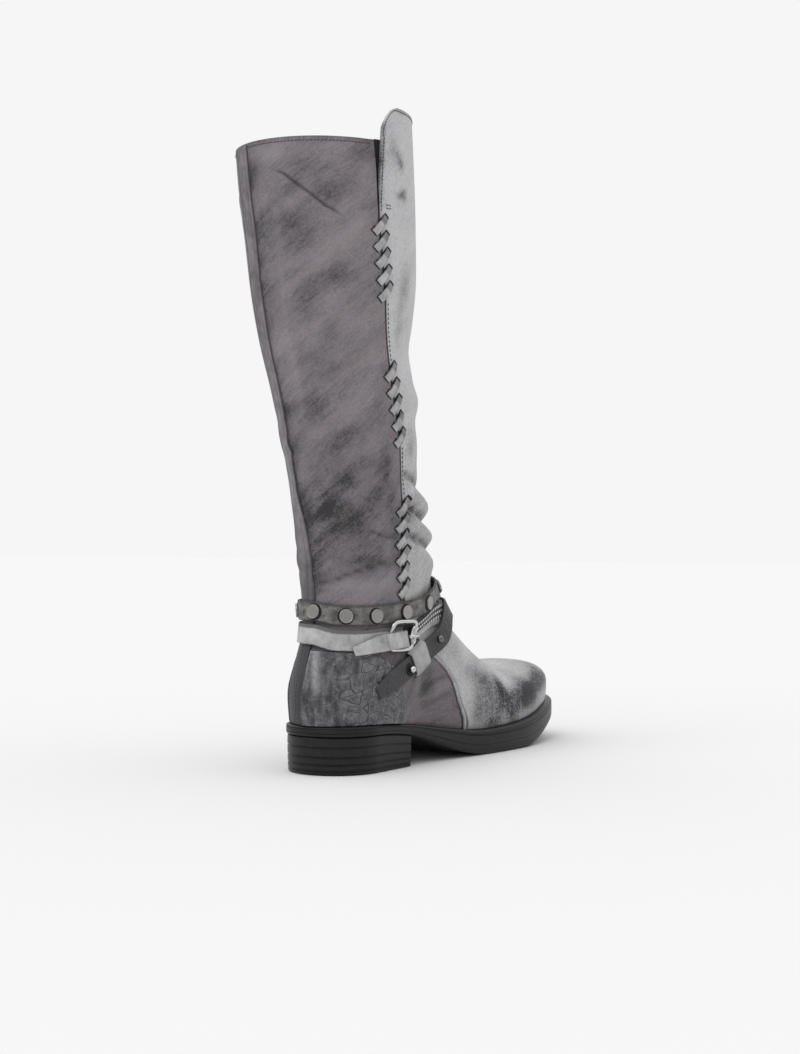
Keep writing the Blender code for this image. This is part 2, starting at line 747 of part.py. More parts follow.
def counter(name, mirrored):
    v = np.linspace(0, 1, 8)[:, None]
    u = 1 - (1 - np.linspace(0, 1, 12)[None, :]) ** (1.0 if mirrored else 1.5)
    keys = np.linspace(0, 1, len(COUNTER["front_z"]))
    front = curve(v, keys, COUNTER["front_angle"])
    front_z = curve(v, keys, COUNTER["front_z"])
    back_z = curve(v, keys, COUNTER["back_z"])
    edge = read(STRIP, "z", "edge", back_z)
    if mirrored:
        front = 360.0 - front
        edge = edge + np.degrees(read(STRIP, "z", "wide", back_z) / read(LEG, "z", "inner", back_z)) + 1.0
    else:
        edge = edge - 1.0
    turn = front * (1 - u) + edge * u
    ground = feather_points(turn[0])[:, 2] + 0.4
    tall = ground + (front_z - ground[0]) * (1 - u) + (back_z - ground[-1]) * u
    tall[0] = ground
    between(name, skin(turn, tall, 0.5 + 0 * tall), skin(turn, tall, 1.7 + 0 * tall), LEATHER)


counter("counter_outer", False)
counter("counter_inner", True)

# Flat lace whipped over the front panel seam, in three runs
WHIP = table("z angle", (
    (105, 103.0),
    (132, 106.5),
    (150, 102.0),
    (164, 96.5),
    (198, 94.5),
    (241, 101.0),
    (289, 105.5),
    (340, 109.0),
))
REACH = 5.4
CLIMB = 4.4
LACE_HALF = 2.2


def lace(name, bottom, top, count):
    places = np.linspace(bottom, top, count)
    spread = (-REACH, -1.0, 1.0, REACH)
    flat = []
    for z in places:
        for s in spread:
            for edge in (-LACE_HALF, LACE_HALF):
                flat.append((s, z + CLIMB * s / REACH + edge))
    flat = np.array(flat)
    base = leg_points(read(WHIP, "z", "angle", flat[:, 1]), flat[:, 1])
    n = normal(base, True)
    ahead = np.stack((-n[:, 1], n[:, 0], 0 * n[:, 0]), -1)
    where = base + ahead * flat[:, :1]
    low = reseat(where, np.full(len(flat), 0.3))
    high = reseat(where, np.full(len(flat), 1.5))
    cells = []
    for k in range(count):
        o = 8 * k
        cells += [(o, o + 2, o + 3, o + 1), (o + 2, o + 4, o + 5, o + 3), (o + 4, o + 6, o + 7, o + 5)]
        if k < count - 1:
            cells.append((o + 3, o + 5, o + 12, o + 10))
    size = len(flat)
    faces = list(cells) + [tuple(q + size for q in reversed(cell)) for cell in cells]
    sides = {}
    for cell in cells:
        for p, q in zip(cell, cell[1:] + cell[:1]):
            sides.setdefault(frozenset((p, q)), []).append((p, q))
    for used in sides.values():
        if len(used) == 1:
            p, q = used[0]
            faces.append((p, q, q + size, p + size))
    return solid(name, np.concatenate((low, high)), faces, LEATHER)


lace("lace_top", 294.0, 334.0, 5)
lace("lace_middle", 206.0, 246.0, 5)
lace("lace_bottom", 112.0, 163.0, 6)


# Bent wire along points, as a bevelled curve turned into a mesh
def wire(name, points, radii, thick, look, closed):
    line = bpy.data.curves.new(name, 'CURVE')
    line.dimensions = '3D'
    line.bevel_depth = thick * MM
    line.bevel_resolution = 1
    line.use_fill_caps = not closed
    spline = line.splines.new('POLY')
    spline.points.add(len(points) - 1)
    for knot, p, r in zip(spline.points, (points - np.array((HEEL_CENTRE, 0.0, 0.0))) * MM, radii):
        knot.co = (*p, 1.0)
        knot.radius = r
    spline.use_cyclic_u = closed
    drawn = bpy.data.objects.new(name + "_line", line)
    BOOT.objects.link(drawn)
    mesh = bpy.data.meshes.new_from_object(drawn.evaluated_get(bpy.context.evaluated_depsgraph_get()))
    bpy.data.objects.remove(drawn, do_unlink=True)
    bm = bmesh.new()
    bm.from_mesh(mesh)
    bmesh.ops.remove_doubles(bm, verts=bm.verts, dist=1e-7)
    bmesh.ops.recalc_face_normals(bm, faces=bm.faces)
    bm.to_mesh(mesh)
    bm.free()
    mesh.name = name
    mesh.materials.clear()
    mesh.materials.append(look)
    made = bpy.data.objects.new(name, mesh)
    BOOT.objects.link(made)
    return made


# Buckle frame: rounded rectangle bent round the ankle, its front bar thicker
BUCKLE_BACK = 125.0
BUCKLE_FRONT = 87.0
BUCKLE_LOW = 73.2
BUCKLE_HIGH = 91.6
turn = np.linspace(0, 2 * np.pi, 32, endpoint=False)
across = np.sign(np.cos(turn)) * np.abs(np.cos(turn)) ** 0.42
upward = np.sign(np.sin(turn)) * np.abs(np.sin(turn)) ** 0.42
frame_turn = 0.5 * (BUCKLE_BACK + BUCKLE_FRONT) - 0.5 * (BUCKLE_BACK - BUCKLE_FRONT) * across
frame_z = 0.5 * (BUCKLE_LOW + BUCKLE_HIGH) + 0.5 * (BUCKLE_HIGH - BUCKLE_LOW) * upward
frame_lift = 3.5 + 1.6 * smooth(frame_z, 84.0, 90.0) + 0.6 * smooth(across, 0.5, 1.0)
thick = 1.0 + 0.35 * smooth(across, 0.9, 1.0)
wire("buckle_frame", skin(frame_turn, frame_z, frame_lift), thick, 1.1, STEEL, True)
prong_turn = np.linspace(103.0, 84.0, 7)
prong_lift = 6.6 + 1.1 * np.sin(np.linspace(0, np.pi, 7))
wire("buckle_prong", skin(prong_turn, 81.4 + 0 * prong_turn, prong_lift + 1.1),
     np.linspace(1.0, 0.75, 7), 0.9, STEEL, False)

# Rivet and ball stud on the dark strap
rivet = skin(np.array(39.5), np.array(77.2), np.array(4.9))
disc("rivet", rivet, normal(rivet), 2.6, 1.8, STEEL, 12, True)
ball = skin(np.array(87.0), np.array(60.8), np.array(3.6))
disc("ball_stud", ball, normal(ball), 2.9, 3.0, STEEL, 12, True)
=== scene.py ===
# Tall strap boot, right foot: the finished look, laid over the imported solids.
# Toe +X, outer side -Y, up +Z. Working sizes are millimetres measured from the heel back.
from math import radians
import bpy
import numpy as np
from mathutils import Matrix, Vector


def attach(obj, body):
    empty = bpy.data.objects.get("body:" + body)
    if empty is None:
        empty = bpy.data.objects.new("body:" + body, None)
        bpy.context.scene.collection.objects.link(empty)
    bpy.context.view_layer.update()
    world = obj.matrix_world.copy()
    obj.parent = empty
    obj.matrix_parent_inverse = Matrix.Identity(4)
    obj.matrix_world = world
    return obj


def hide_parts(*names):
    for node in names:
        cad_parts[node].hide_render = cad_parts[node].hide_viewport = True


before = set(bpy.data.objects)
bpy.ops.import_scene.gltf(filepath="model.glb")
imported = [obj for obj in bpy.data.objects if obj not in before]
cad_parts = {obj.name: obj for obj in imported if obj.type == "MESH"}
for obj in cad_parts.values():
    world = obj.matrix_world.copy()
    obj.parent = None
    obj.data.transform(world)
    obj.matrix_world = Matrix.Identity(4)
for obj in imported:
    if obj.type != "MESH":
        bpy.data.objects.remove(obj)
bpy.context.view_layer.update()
bpy.ops.object.select_all(action='DESELECT')

MM = 0.001
HEEL_CENTRE = 33.0
HEEL_POINT = np.array((HEEL_CENTRE, 0.0, 0.0))
SOLE_LENGTH = 285.0
SOLE_TOE_START = 190.0
SOLE_MIDDLE = 142.0
TOE_ROUND = 215.0
UPPER_TIP = 279.0
UPPER_BALL = 192.0
DOME_START = 236.0
WALL = 2.2
GAP = 0.3
BREAST = 68.0
RIM = 385.0
TAB_RIM = 408.0
TAB_CORNER = 109.0
TAB_CORNER_WIDE = 18.0
TAB_CORNER_TALL = 34.0
SLIT_FOOT = 341.0
JOIN = 122.0
STRAP_TALL = 12.4
STRAP_THICK = 1.4
# Mean distance of the leg's skin from its axis, for lengths round the leg
LEG_REACH = 50.0


# sRGB hex to linear
def paint(code):
    parts = [int(code[i:i + 2], 16) / 255 for i in (1, 3, 5)]
    return tuple(c / 12.92 if c <= 0.04045 else ((c + 0.055) / 1.055) ** 2.4 for c in parts) + (1.0,)


# Adds a node with its settings, and links or sets its sockets
def node(tree, kind, sockets=(), **settings):
    made = tree.nodes.new("ShaderNode" + kind)
    for key, value in settings.items():
        setattr(made, key, value)
    for key, value in dict(sockets).items():
        if isinstance(value, bpy.types.NodeSocket):
            tree.links.new(value, made.inputs[key])
        else:
            made.inputs[key].default_value = value
    return made


# A new finish with its shader
def finish(name, rough, metal=0.0):
    made = bpy.data.materials.new(name)
    made.use_nodes = True
    shader = made.node_tree.nodes["Principled BSDF"]
    shader.inputs["Roughness"].default_value = rough
    shader.inputs["Metallic"].default_value = metal
    return made, made.node_tree, shader


# Studio: eye of the photograph, and soft light mostly from above and behind the boot
PHOTO_TALL = 1054.0
FOCAL_PIXELS = 1800.0
SENSOR = 36.0
bpy.ops.object.camera_add(location=(-0.9244, -0.6299, 0.1504), rotation=(radians(90), 0, radians(-57.7)))
eye = bpy.context.object
eye.data.sensor_width = SENSOR
eye.data.lens = FOCAL_PIXELS * SENSOR / PHOTO_TALL
bpy.context.scene.camera = eye
bpy.context.scene.view_settings.view_transform = 'Standard'

studio = bpy.data.worlds.new("studio")
bpy.context.scene.world = studio
studio.use_nodes = True
air = studio.node_tree
way = node(air, "TexCoord").outputs["Generated"]
high = node(air, "SeparateXYZ", {0: way}).outputs[2]
roof = node(air, "MapRange",
            {"Value": high, "From Min": -0.1, "From Max": 0.9, "To Min": 0.45, "To Max": 1.25})
front = node(air, "VectorMath", {0: way, 1: (0.845, 0.534, 0.0)},
             operation='DOT_PRODUCT').outputs["Value"]
fall = node(air, "MapRange",
            {"Value": front, "From Min": -1.0, "From Max": 1.0, "To Min": 0.75, "To Max": 1.2})
lit = node(air, "Math", {0: roof.outputs[0], 1: fall.outputs[0]}, operation='MULTIPLY').outputs[0]
seen = node(air, "LightPath").outputs["Is Camera Ray"]
glow = node(air, "Mix", {0: seen, 2: lit, 3: 0.92}).outputs[0]
air.links.new(glow, air.nodes["Background"].inputs["Strength"])
air.nodes["Background"].inputs["Color"].default_value = (1.0, 1.0, 1.0, 1.0)
bpy.ops.object.light_add(type='SUN', rotation=(radians(42), 0, radians(-95)))
sun = bpy.context.object
sun.data.energy = 0.7
sun.data.angle = radians(40)


def table(names, rows):
    columns = np.array(rows, float).T
    return dict(zip(names.split(), columns))


# Leg and heel: level slices by height
LEG = table("z back front outer inner shift", (
    (20, 4.0, 96, 30.5, 30.5, 0.0), (34, 1.0, 102, 32.5, 33.0, 0.0), (48, 0.0, 108, 33.5, 34.0, 0.0),
    (64, 4.0, 116, 32.0, 32.0, 0.5), (82, 11.5, 122, 30.0, 28.8, 1.5),
    (101, 15.8, 126, 32.0, 31.0, 2.8), (120, 16.5, 124, 34.8, 34.4, 3.8),
    (138, 17.0, 118, 36.5, 36.5, 4.5), (175, 14.0, 107, 37.5, 37.0, 6.0),
    (202, 10.0, 104, 40.0, 39.5, 7.5), (234, 4.0, 101, 43.0, 42.5, 9.5),
    (265, -3.0, 99, 46.5, 46.0, 12.0), (297, -8.0, 101, 50.5, 49.5, 13.5),
    (329, -11.0, 102, 53.0, 52.0, 14.5), (361, -14.0, 102, 54.5, 54.0, 16.0),
    (410, -16.5, 101, 55.0, 55.0, 18.0)))

# Foot: upright sections by distance from the heel back
FOOT = table("a outer inner shift ridge widest power", (
    (30, 26.0, 26.0, 0.0, 80, 22, 2.2), (70, 29.5, 28.0, 0.0, 100, 22, 2.1),
    (100, 33.0, 28.0, 0.5, 112, 20, 2.0), (122, 36.5, 30.0, 1.0, 105, 17, 2.0),
    (140, 39.5, 33.5, 1.5, 90, 15, 2.0), (160, 42.5, 38.5, 2.0, 74, 14, 2.0),
    (180, 44.5, 42.5, 2.0, 61, 13, 2.1), (200, 44.5, 43.5, 2.0, 54, 12, 2.2),
    (218, 44.0, 43.5, 2.0, 54, 12, 2.3), (236, 43.5, 43.0, 2.0, 56, 12, 2.4),
    (280, 43.5, 43.0, 2.0, 56, 12, 2.4)))

# Sole: outline, upper face and tread by distance from the heel back
SOLE = table("a outer inner shift top tread", (
    (0, 31.5, 31.0, 0.0, 29.5, 23.1), (33, 31.5, 31.0, 0.0, 29.2, 22.8),
    (68, 32.5, 29.5, 0.0, 26.4, 19.6), (91, 35.0, 27.5, 0.3, 23.0, 13.6),
    (114, 38.5, 28.5, 0.8, 19.6, 6.5), (135, 42.0, 32.0, 1.2, 17.0, 1.5),
    (150, 44.5, 36.5, 1.5, 16.2, 0.0), (180, 48.0, 45.0, 2.0, 17.2, 0.0),
    (198, 48.5, 47.5, 2.0, 18.6, 0.0), (209, 48.5, 48.0, 2.0, 20.0, 2.0),
    (245, 48.5, 48.0, 2.0, 26.0, 12.5), (285, 48.5, 48.0, 2.0, 29.5, 19.5)))

# Edge of the pale front: vamp seam below, whip seam above, slit at the top
BOUND = table("z angle", (
    (10, 23.0), (18.6, 23.6), (26, 25.0), (37, 27.1), (49, 28.8), (59, 32.4), (66.5, 38.6),
    (69.5, 43.0), (90, 80.0), (105, 103.0), (132, 106.5), (150, 102.0), (164, 96.5), (198, 94.5),
    (241, 101.0), (289, 105.5), (341, 111.2), (420, 111.2)))


# Smooth curve through the rows of a table, without overshoot
def curve(q, xs, ys):
    q = np.clip(q, xs[0], xs[-1])
    step = np.diff(xs)
    rise = np.diff(ys) / step
    tangent = np.empty_like(ys)
    tangent[0] = rise[0]
    tangent[-1] = rise[-1]
    same = rise[:-1] * rise[1:] > 0
    before = np.where(same, rise[:-1], 1.0)
    after = np.where(same, rise[1:], 1.0)
    w1 = 2 * step[1:] + step[:-1]
    w2 = step[1:] + 2 * step[:-1]
    tangent[1:-1] = np.where(same, (w1 + w2) / (w1 / before + w2 / after), 0.0)
    i = np.clip(np.searchsorted(xs, q, side="right") - 1, 0, len(step) - 1)
    t = (q - xs[i]) / step[i]
    keep = (1 + 2 * t) * (1 - t) ** 2 * ys[i] + t * t * (3 - 2 * t) * ys[i + 1]
    lean = t * (1 - t) ** 2 * tangent[i] - t * t * (1 - t) * tangent[i + 1]
    return keep + step[i] * lean


def read(rows, key, name, q):
    return curve(np.asarray(q, float), rows[key], rows[name])


def cap(q, start, end, power):
    u = np.clip((q - start) / (end - start), 0.0, 1.0)
    return (1 - u ** power) ** (1 / power)


def smooth(q, start, end):
    u = np.clip((q - start) / (end - start), 0.0, 1.0)
    return u * u * (3 - 2 * u)


def bump(q, middle, half):
    return np.exp(-((q - middle) / half) ** 2)


def sole_top(a):
    return read(SOLE, "a", "top", a)


def leg_axis(z):
    back = read(LEG, "z", "back", z)
    front = read(LEG, "z", "front", z)
    return 0.5 * (back + front), read(LEG, "z", "shift", z)


def leg_form(a, y, z):
    ca, cy = leg_axis(z)
    half = read(LEG, "z", "front", z) - ca
    da = a - ca
    dy = y - cy
    side = np.where(dy < 0, read(LEG, "z", "outer", z), read(LEG, "z", "inner", z))
    g = np.hypot(da / half, dy / side) + 1e-9
    return np.hypot(da, dy) * (1 - 1 / g)


def foot_form(a, y, z):
    end = cap(a, UPPER_BALL, UPPER_TIP, 2.1)
    dome = cap(a, DOME_START, UPPER_TIP, 2.2)
    low = sole_top(a) + read(FOOT, "a", "widest", a)
    high = np.maximum((read(FOOT, "a", "ridge", a) - low) * dome, 0.05)
    dy = y - read(FOOT, "a", "shift", a)
    side = np.where(dy < 0, read(FOOT, "a", "outer", a), read(FOOT, "a", "inner", a))
    side = np.maximum(side * end, 0.05)
    dz = z - low
    n = read(FOOT, "a", "power", a)
    tall = np.where(dz > 0, dz / high, dz / (3.0 * read(FOOT, "a", "widest", a)))
    g = (np.abs(dy / side) ** n + np.abs(tall) ** n) ** (1 / n) + 1e-9
    return np.hypot(dy, dz) * (1 - 1 / g) + 300.0 * smooth(45.0 - a, 0.0, 36.0)


def form(a, y, z):
    leg = leg_form(a, y, z)
    foot = foot_form(a, y, z)
    blend = 5.0 + 17.0 * smooth(a, 85, 125)
    h = np.maximum(blend - np.abs(leg - foot), 0.0) / blend
    return np.minimum(leg, foot) - h * h * blend * 0.25


def cast(start, way, far=190.0):
    near = np.zeros(start.shape[:-1])
    away = np.full(start.shape[:-1], far)
    for step in range(24):
        mid = 0.5 * (near + away)
        p = start + way * mid[..., None]
        inside = form(p[..., 0], p[..., 1], p[..., 2]) < 0
        near = np.where(inside, mid, near)
        away = np.where(inside, away, mid)
    return start + way * near[..., None]


def normal(p, level=False):
    a, y, z = p[..., 0], p[..., 1], p[..., 2]
    e = 0.6
    n = np.stack((
        form(a + e, y, z) - form(a - e, y, z),
        form(a, y + e, z) - form(a, y - e, z),
        form(a, y, z + e) - form(a, y, z - e)), -1)
    if level:
        n[..., 2] = 0.0
    return n / np.linalg.norm(n, axis=-1, keepdims=True)


# Points of the bare form round the leg: angle 0 front, 90 outer side, 180 back, height z
def leg_points(angle, z):
    angle = np.radians(np.asarray(angle, float))
    z = np.asarray(z, float) + 0.0 * angle
    angle = angle + 0.0 * z
    ca, cy = leg_axis(z)
    start = np.stack((ca, cy, z), -1)
    way = np.stack((np.cos(angle), -np.sin(angle), 0.0 * z), -1)
    return cast(start, way)


def angle_of(p):
    ca, cy = leg_axis(p[..., 2])
    return np.degrees(np.arctan2(cy - p[..., 1], p[..., 0] - ca))


def feather_points(angle, lift=GAP):
    z = np.full(np.shape(angle), 25.0)
    for step in range(12):
        p = leg_points(angle, z)
        z = sole_top(p[..., 0]) + lift
    p[..., 2] = z
    return p


# Points over an upright section at a, from the outer feather edge over the ridge to the inner one
def section_points(a, half):
    low = sole_top(a)
    cy = float(read(FOOT, "a", "shift", a))
    base = np.array((a, cy, low + GAP))
    peak = cast(base, np.array((0.0, 0.0, 1.0)))
    middle = np.array((a, cy, low + GAP + 0.3 * (peak[2] - low)))
    points = []
    for side in (-1.0, 1.0):
        edge = cast(base, np.array((0.0, side, 0.0)))
        slope = np.arctan2(edge[2] - middle[2], side * (edge[1] - cy))
        turn = slope + (0.5 * np.pi - slope) * np.linspace(0, 1, half + 1)
        way = np.stack((0 * turn, side * np.cos(turn), np.sin(turn)), -1)
        row = cast(np.broadcast_to(middle, way.shape), way)
        row[0] = edge
        row[-1] = peak
        points.append(row)
    return np.concatenate((points[0], points[1][-2::-1]))


# Distance from a line of angle and height, signed by side, and the way along it from 0 to 1
def beside(angle, z, line):
    x = np.radians(angle) * LEG_REACH
    px = np.radians([p[0] for p in line]) * LEG_REACH
    pz = np.array([p[1] for p in line], float)
    long = np.hypot(np.diff(px), np.diff(pz))
    done = np.concatenate(((0.0,), np.cumsum(long)))
    off = np.full(x.shape, 1e6)
    run = np.zeros(x.shape)
    for i in range(len(long)):
        dx, dz = px[i + 1] - px[i], pz[i + 1] - pz[i]
        u = np.clip(((x - px[i]) * dx + (z - pz[i]) * dz) / long[i] ** 2, 0.0, 1.0)
        ox, oz = x - px[i] - u * dx, z - pz[i] - u * dz
        far = np.hypot(ox, oz)
        nearer = far < np.abs(off)
        off = np.where(nearer, far * np.sign(dx * oz - dz * ox + 1e-12), off)
        run = np.where(nearer, (done[i] + u * long[i]) / done[-1], run)
    return off, run


# Main creases of the shaft, each a line of angle and height: trough depth and half width,
# then height, offset and half width of the roll beside it
CREASES = (
    (((180, 366), (172.4, 363.4), (164.4, 356.9), (156.3, 350.8), (147.7, 343.6), (141, 340), (133, 334)),
     1.3, 1.0, 1.0, 4.0, 4.0),
    (((143, 366), (134.3, 359.4), (127.3, 356.9), (122, 352)), 0.6, 2.2, 0.5, 4.0, 4.0),
    (((186, 115), (174.8, 116.7), (168, 117.9), (161.4, 121), (148.4, 124.6), (133.4, 127.6), (116, 129)),
     1.8, 1.5, 1.8, -5.5, 4.5),
    (((180, 133), (167, 132.6), (156.3, 135.7), (144.4, 139.3), (130, 145)), 0.6, 2.4, 0.7, -5.0, 4.5),
    (((141, 148.5), (131.6, 146.1), (121.8, 143.6), (108, 143.6)), 0.9, 1.8, 0.7, 4.0, 4.0),
    (((168, 205), (150, 213), (128, 224)), 0.5, 4.0, 0.5, 8.0, 6.0),
    (((176, 176), (158, 184), (132, 198), (112, 206)), 0.5, 4.0, 0.6, -8.0, 6.0),
    (((205, 196), (196, 197), (186, 201), (176, 209)), 0.9, 2.6, 0.9, -6.0, 5.0),
)

# Slouch folds round the front of the ankle and soft waves above: height, half height, rise in mm
FOLDS = (
    (166.0, 6.0, 5.4), (147.5, 4.8, 4.6), (130.5, 5.6, 3.0), (177.5, 3.6, -1.8), (156.5, 3.0, -1.6),
    (139.0, 3.0, -1.6), (231.0, 8.0, 2.8), (262.0, 12.0, -1.8), (205.0, 9.0, 0.8), (305.0, 16.0, 0.8))
TROUGHS = [middle for middle, half, rise in FOLDS[3:6]]
FOLD_FOOT = 103.0


# Height of a fold round the front: it climbs to the outer seam, waves at the front and runs level inside
def fold_line(signed, middle):
    outer = smooth(signed, -20.0, 40.0)
    wave = 2.2 * np.sin(np.radians(2.6 * signed + 7.0 * middle)) * (1 - smooth(signed, 5.0, 40.0))
    return middle + 0.17 * (signed - 58.0) * outer - 6.0 * (1 - outer) + wave


def fold(angle, z):
    turn = np.mod(angle, 360.0)
    lift = np.zeros(np.shape(turn + z))
    for line, depth, wide, roll, shift, spread in CREASES:
        for side in (turn, 360.0 - turn):
            off, run = beside(side, z, line)
            ends = smooth(run, 0.0, 0.12) * (1 - smooth(run, 0.8, 1.0))
            share = 1.0 if side is turn else 0.6 * (1 - smooth(side, 140.0, 165.0))
            lift += share * ends * (roll * bump(off, shift, spread) - depth * bump(off, 0.0, wide))
    signed = np.where(turn > 180.0, turn - 360.0, turn)
    edge = read(BOUND, "z", "angle", z)
    window = smooth(edge - signed, 0.0, 20.0) * smooth(signed + edge, 0.0, 40.0)
    for middle, half, rise in FOLDS:
        lift += rise * bump(z, fold_line(signed, middle), half) * window
    return lift * smooth(z, FOLD_FOOT, FOLD_FOOT + 12.0) * (1 - smooth(z, RIM - 9.0, RIM))


# Groove of the whip seam, with the side panel's turned edge standing up behind it
def seam_relief(panel, z):
    groove = 0.45 * bump(panel, -2.4, 1.8) - 0.9 * bump(panel, 0.0, 0.8)
    return groove * smooth(z, 106.0, 114.0)


# Distance in front of the seam that bounds the pale front, on both sides of the leg
def panel_of(p, angle):
    ca, cy = leg_axis(p[..., 2])
    reach = np.hypot(p[..., 0] - ca, p[..., 1] - cy)
    return np.radians(read(BOUND, "z", "angle", p[..., 2]) - np.abs(angle)) * reach


# Points off the finished surface
def skin(angle, z, lift):
    p = leg_points(angle, z)
    rise = np.asarray(lift, float) + fold(np.asarray(angle, float) + 0.0 * p[..., 0], p[..., 2])
    return p + normal(p) * rise[..., None]


def reseat(p, lift):
    return skin(angle_of(p), p[..., 2], lift)


def rim_height(angle):
    turn = np.where(angle > 180, angle - 360, angle)
    off = np.maximum(TAB_CORNER - turn, 0.0) * 0.95
    short = np.maximum(1 - off / TAB_CORNER_WIDE, 0.0)
    drop = TAB_CORNER_TALL * (1 - np.sqrt(1 - short ** 2))
    front = RIM + (TAB_RIM - RIM) * smooth(turn, -75.0, 60.0) - drop
    return np.where((turn < TAB_CORNER) & (turn > -75.0), front, RIM)


# Lays one grid primitive over rows of points, with its unwrapping in millimetres
def sheet(name, points, unwrap):
    rows, cols = points.shape[:2]
    bpy.ops.object.select_all(action='DESELECT')
    bpy.ops.mesh.primitive_grid_add(x_subdivisions=cols - 1, y_subdivisions=rows - 1, size=1.0)
    piece = bpy.context.object
    piece.name = name
    mesh = piece.data
    mesh.name = name
    spots = np.empty(len(mesh.vertices) * 3)
    mesh.vertices.foreach_get("co", spots)
    spots = spots.reshape(-1, 3)
    c = np.rint((spots[:, 0] + 0.5) * (cols - 1)).astype(int)
    r = np.rint((spots[:, 1] + 0.5) * (rows - 1)).astype(int)
    place = (points[r, c] - HEEL_POINT) * MM
    mesh.vertices.foreach_set("co", place.ravel())
    corner = np.empty(len(mesh.loops), int)
    mesh.loops.foreach_get("vertex_index", corner)
    mesh.uv_layers[0].data.foreach_set("uv", unwrap[r[corner], c[corner]].ravel())
    mesh.update()
    return piece, r, c


# Unwrapping of a sheet by its real lengths along rows and columns
def lengths(points):
    rows, cols = points.shape[:2]
    u = np.zeros((rows, cols))
    v = np.zeros((rows, cols))
    mid = points[rows // 2]
    u[:, 1:] = np.cumsum(np.linalg.norm(np.diff(mid, axis=0), axis=-1))
    rise = points[:, cols // 2]
    v[1:] = np.cumsum(np.linalg.norm(np.diff(rise, axis=0), axis=-1))[:, None]
    return np.stack((u, v), -1)


def pick(piece):
    bpy.ops.object.select_all(action='DESELECT')
    piece.select_set(True)
    bpy.context.view_layer.objects.active = piece


# Works on all of a piece in edit mode
def edit(piece, *steps):
    pick(piece)
    bpy.ops.object.mode_set(mode='EDIT')
    bpy.ops.mesh.select_mode(type='FACE')
    bpy.ops.mesh.select_all(action='SELECT')
    for step in steps:
        step()
    bpy.ops.object.mode_set(mode='OBJECT')


def weld():
    bpy.ops.mesh.select_all(action='SELECT')
    bpy.ops.mesh.remove_doubles(threshold=2e-6)


def outward():
    bpy.ops.mesh.select_all(action='SELECT')
    bpy.ops.mesh.normals_make_consistent(inside=False)


# Turns the faces of an open sheet away from the leg
def face_out(piece):
    mesh = piece.data
    centre = np.empty(len(mesh.polygons) * 3)
    facing = np.empty(len(mesh.polygons) * 3)
    mesh.polygons.foreach_get("center", centre)
    mesh.polygons.foreach_get("normal", facing)
    p = centre.reshape(-1, 3) / MM + HEEL_POINT
    if (normal(p) * facing.reshape(-1, 3)).sum() < 0:
        edit(piece, bpy.ops.mesh.flip_normals)


def modify(piece, kind, **settings):
    pick(piece)
    made = piece.modifiers.new(kind.lower(), kind)
    for key, value in settings.items():
        setattr(made, key, value)
    bpy.ops.object.modifier_apply(modifier=made.name)


def ease(piece, wide, sharper_than, segments=2):
    modify(piece, 'BEVEL', width=wide, segments=segments, limit_method='ANGLE',
           angle_limit=radians(sharper_than))


def join(pieces, name):
    bpy.ops.object.select_all(action='DESELECT')
    for piece in pieces:
        piece.select_set(True)
    bpy.context.view_layer.objects.active = pieces[0]
    if len(pieces) > 1:
        bpy.ops.object.join()
    made = bpy.context.view_layer.objects.active
    made.name = name
    made.data.name = name
    return made


# Dresses a finished piece: smooth shading up to an angle, its look unless it already has one,
# then its body, and hides its CAD nodes
def dress(piece, look, slot, *nodes, turn=40.0):
    if turn:
        pick(piece)
        bpy.ops.object.shade_smooth_by_angle(angle=radians(turn))
    if look is not None:
        piece.data.materials.clear()
        piece.data.materials.append(look)
    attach(piece, "root")
    if nodes:
        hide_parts(*nodes)


# A leather band: a sheet with real thickness outward and eased edges
def band(name, points, thick, edge=0.3, closed=False, unwrap=None):
    piece, r, c = sheet(name, points, lengths(points) if unwrap is None else unwrap)
    if closed:
        edit(piece, weld)
    face_out(piece)
    modify(piece, 'SOLIDIFY', thickness=thick * MM, offset=1.0, use_even_offset=True)
    if edge:
        ease(piece, edge * MM, 50)
    return piece
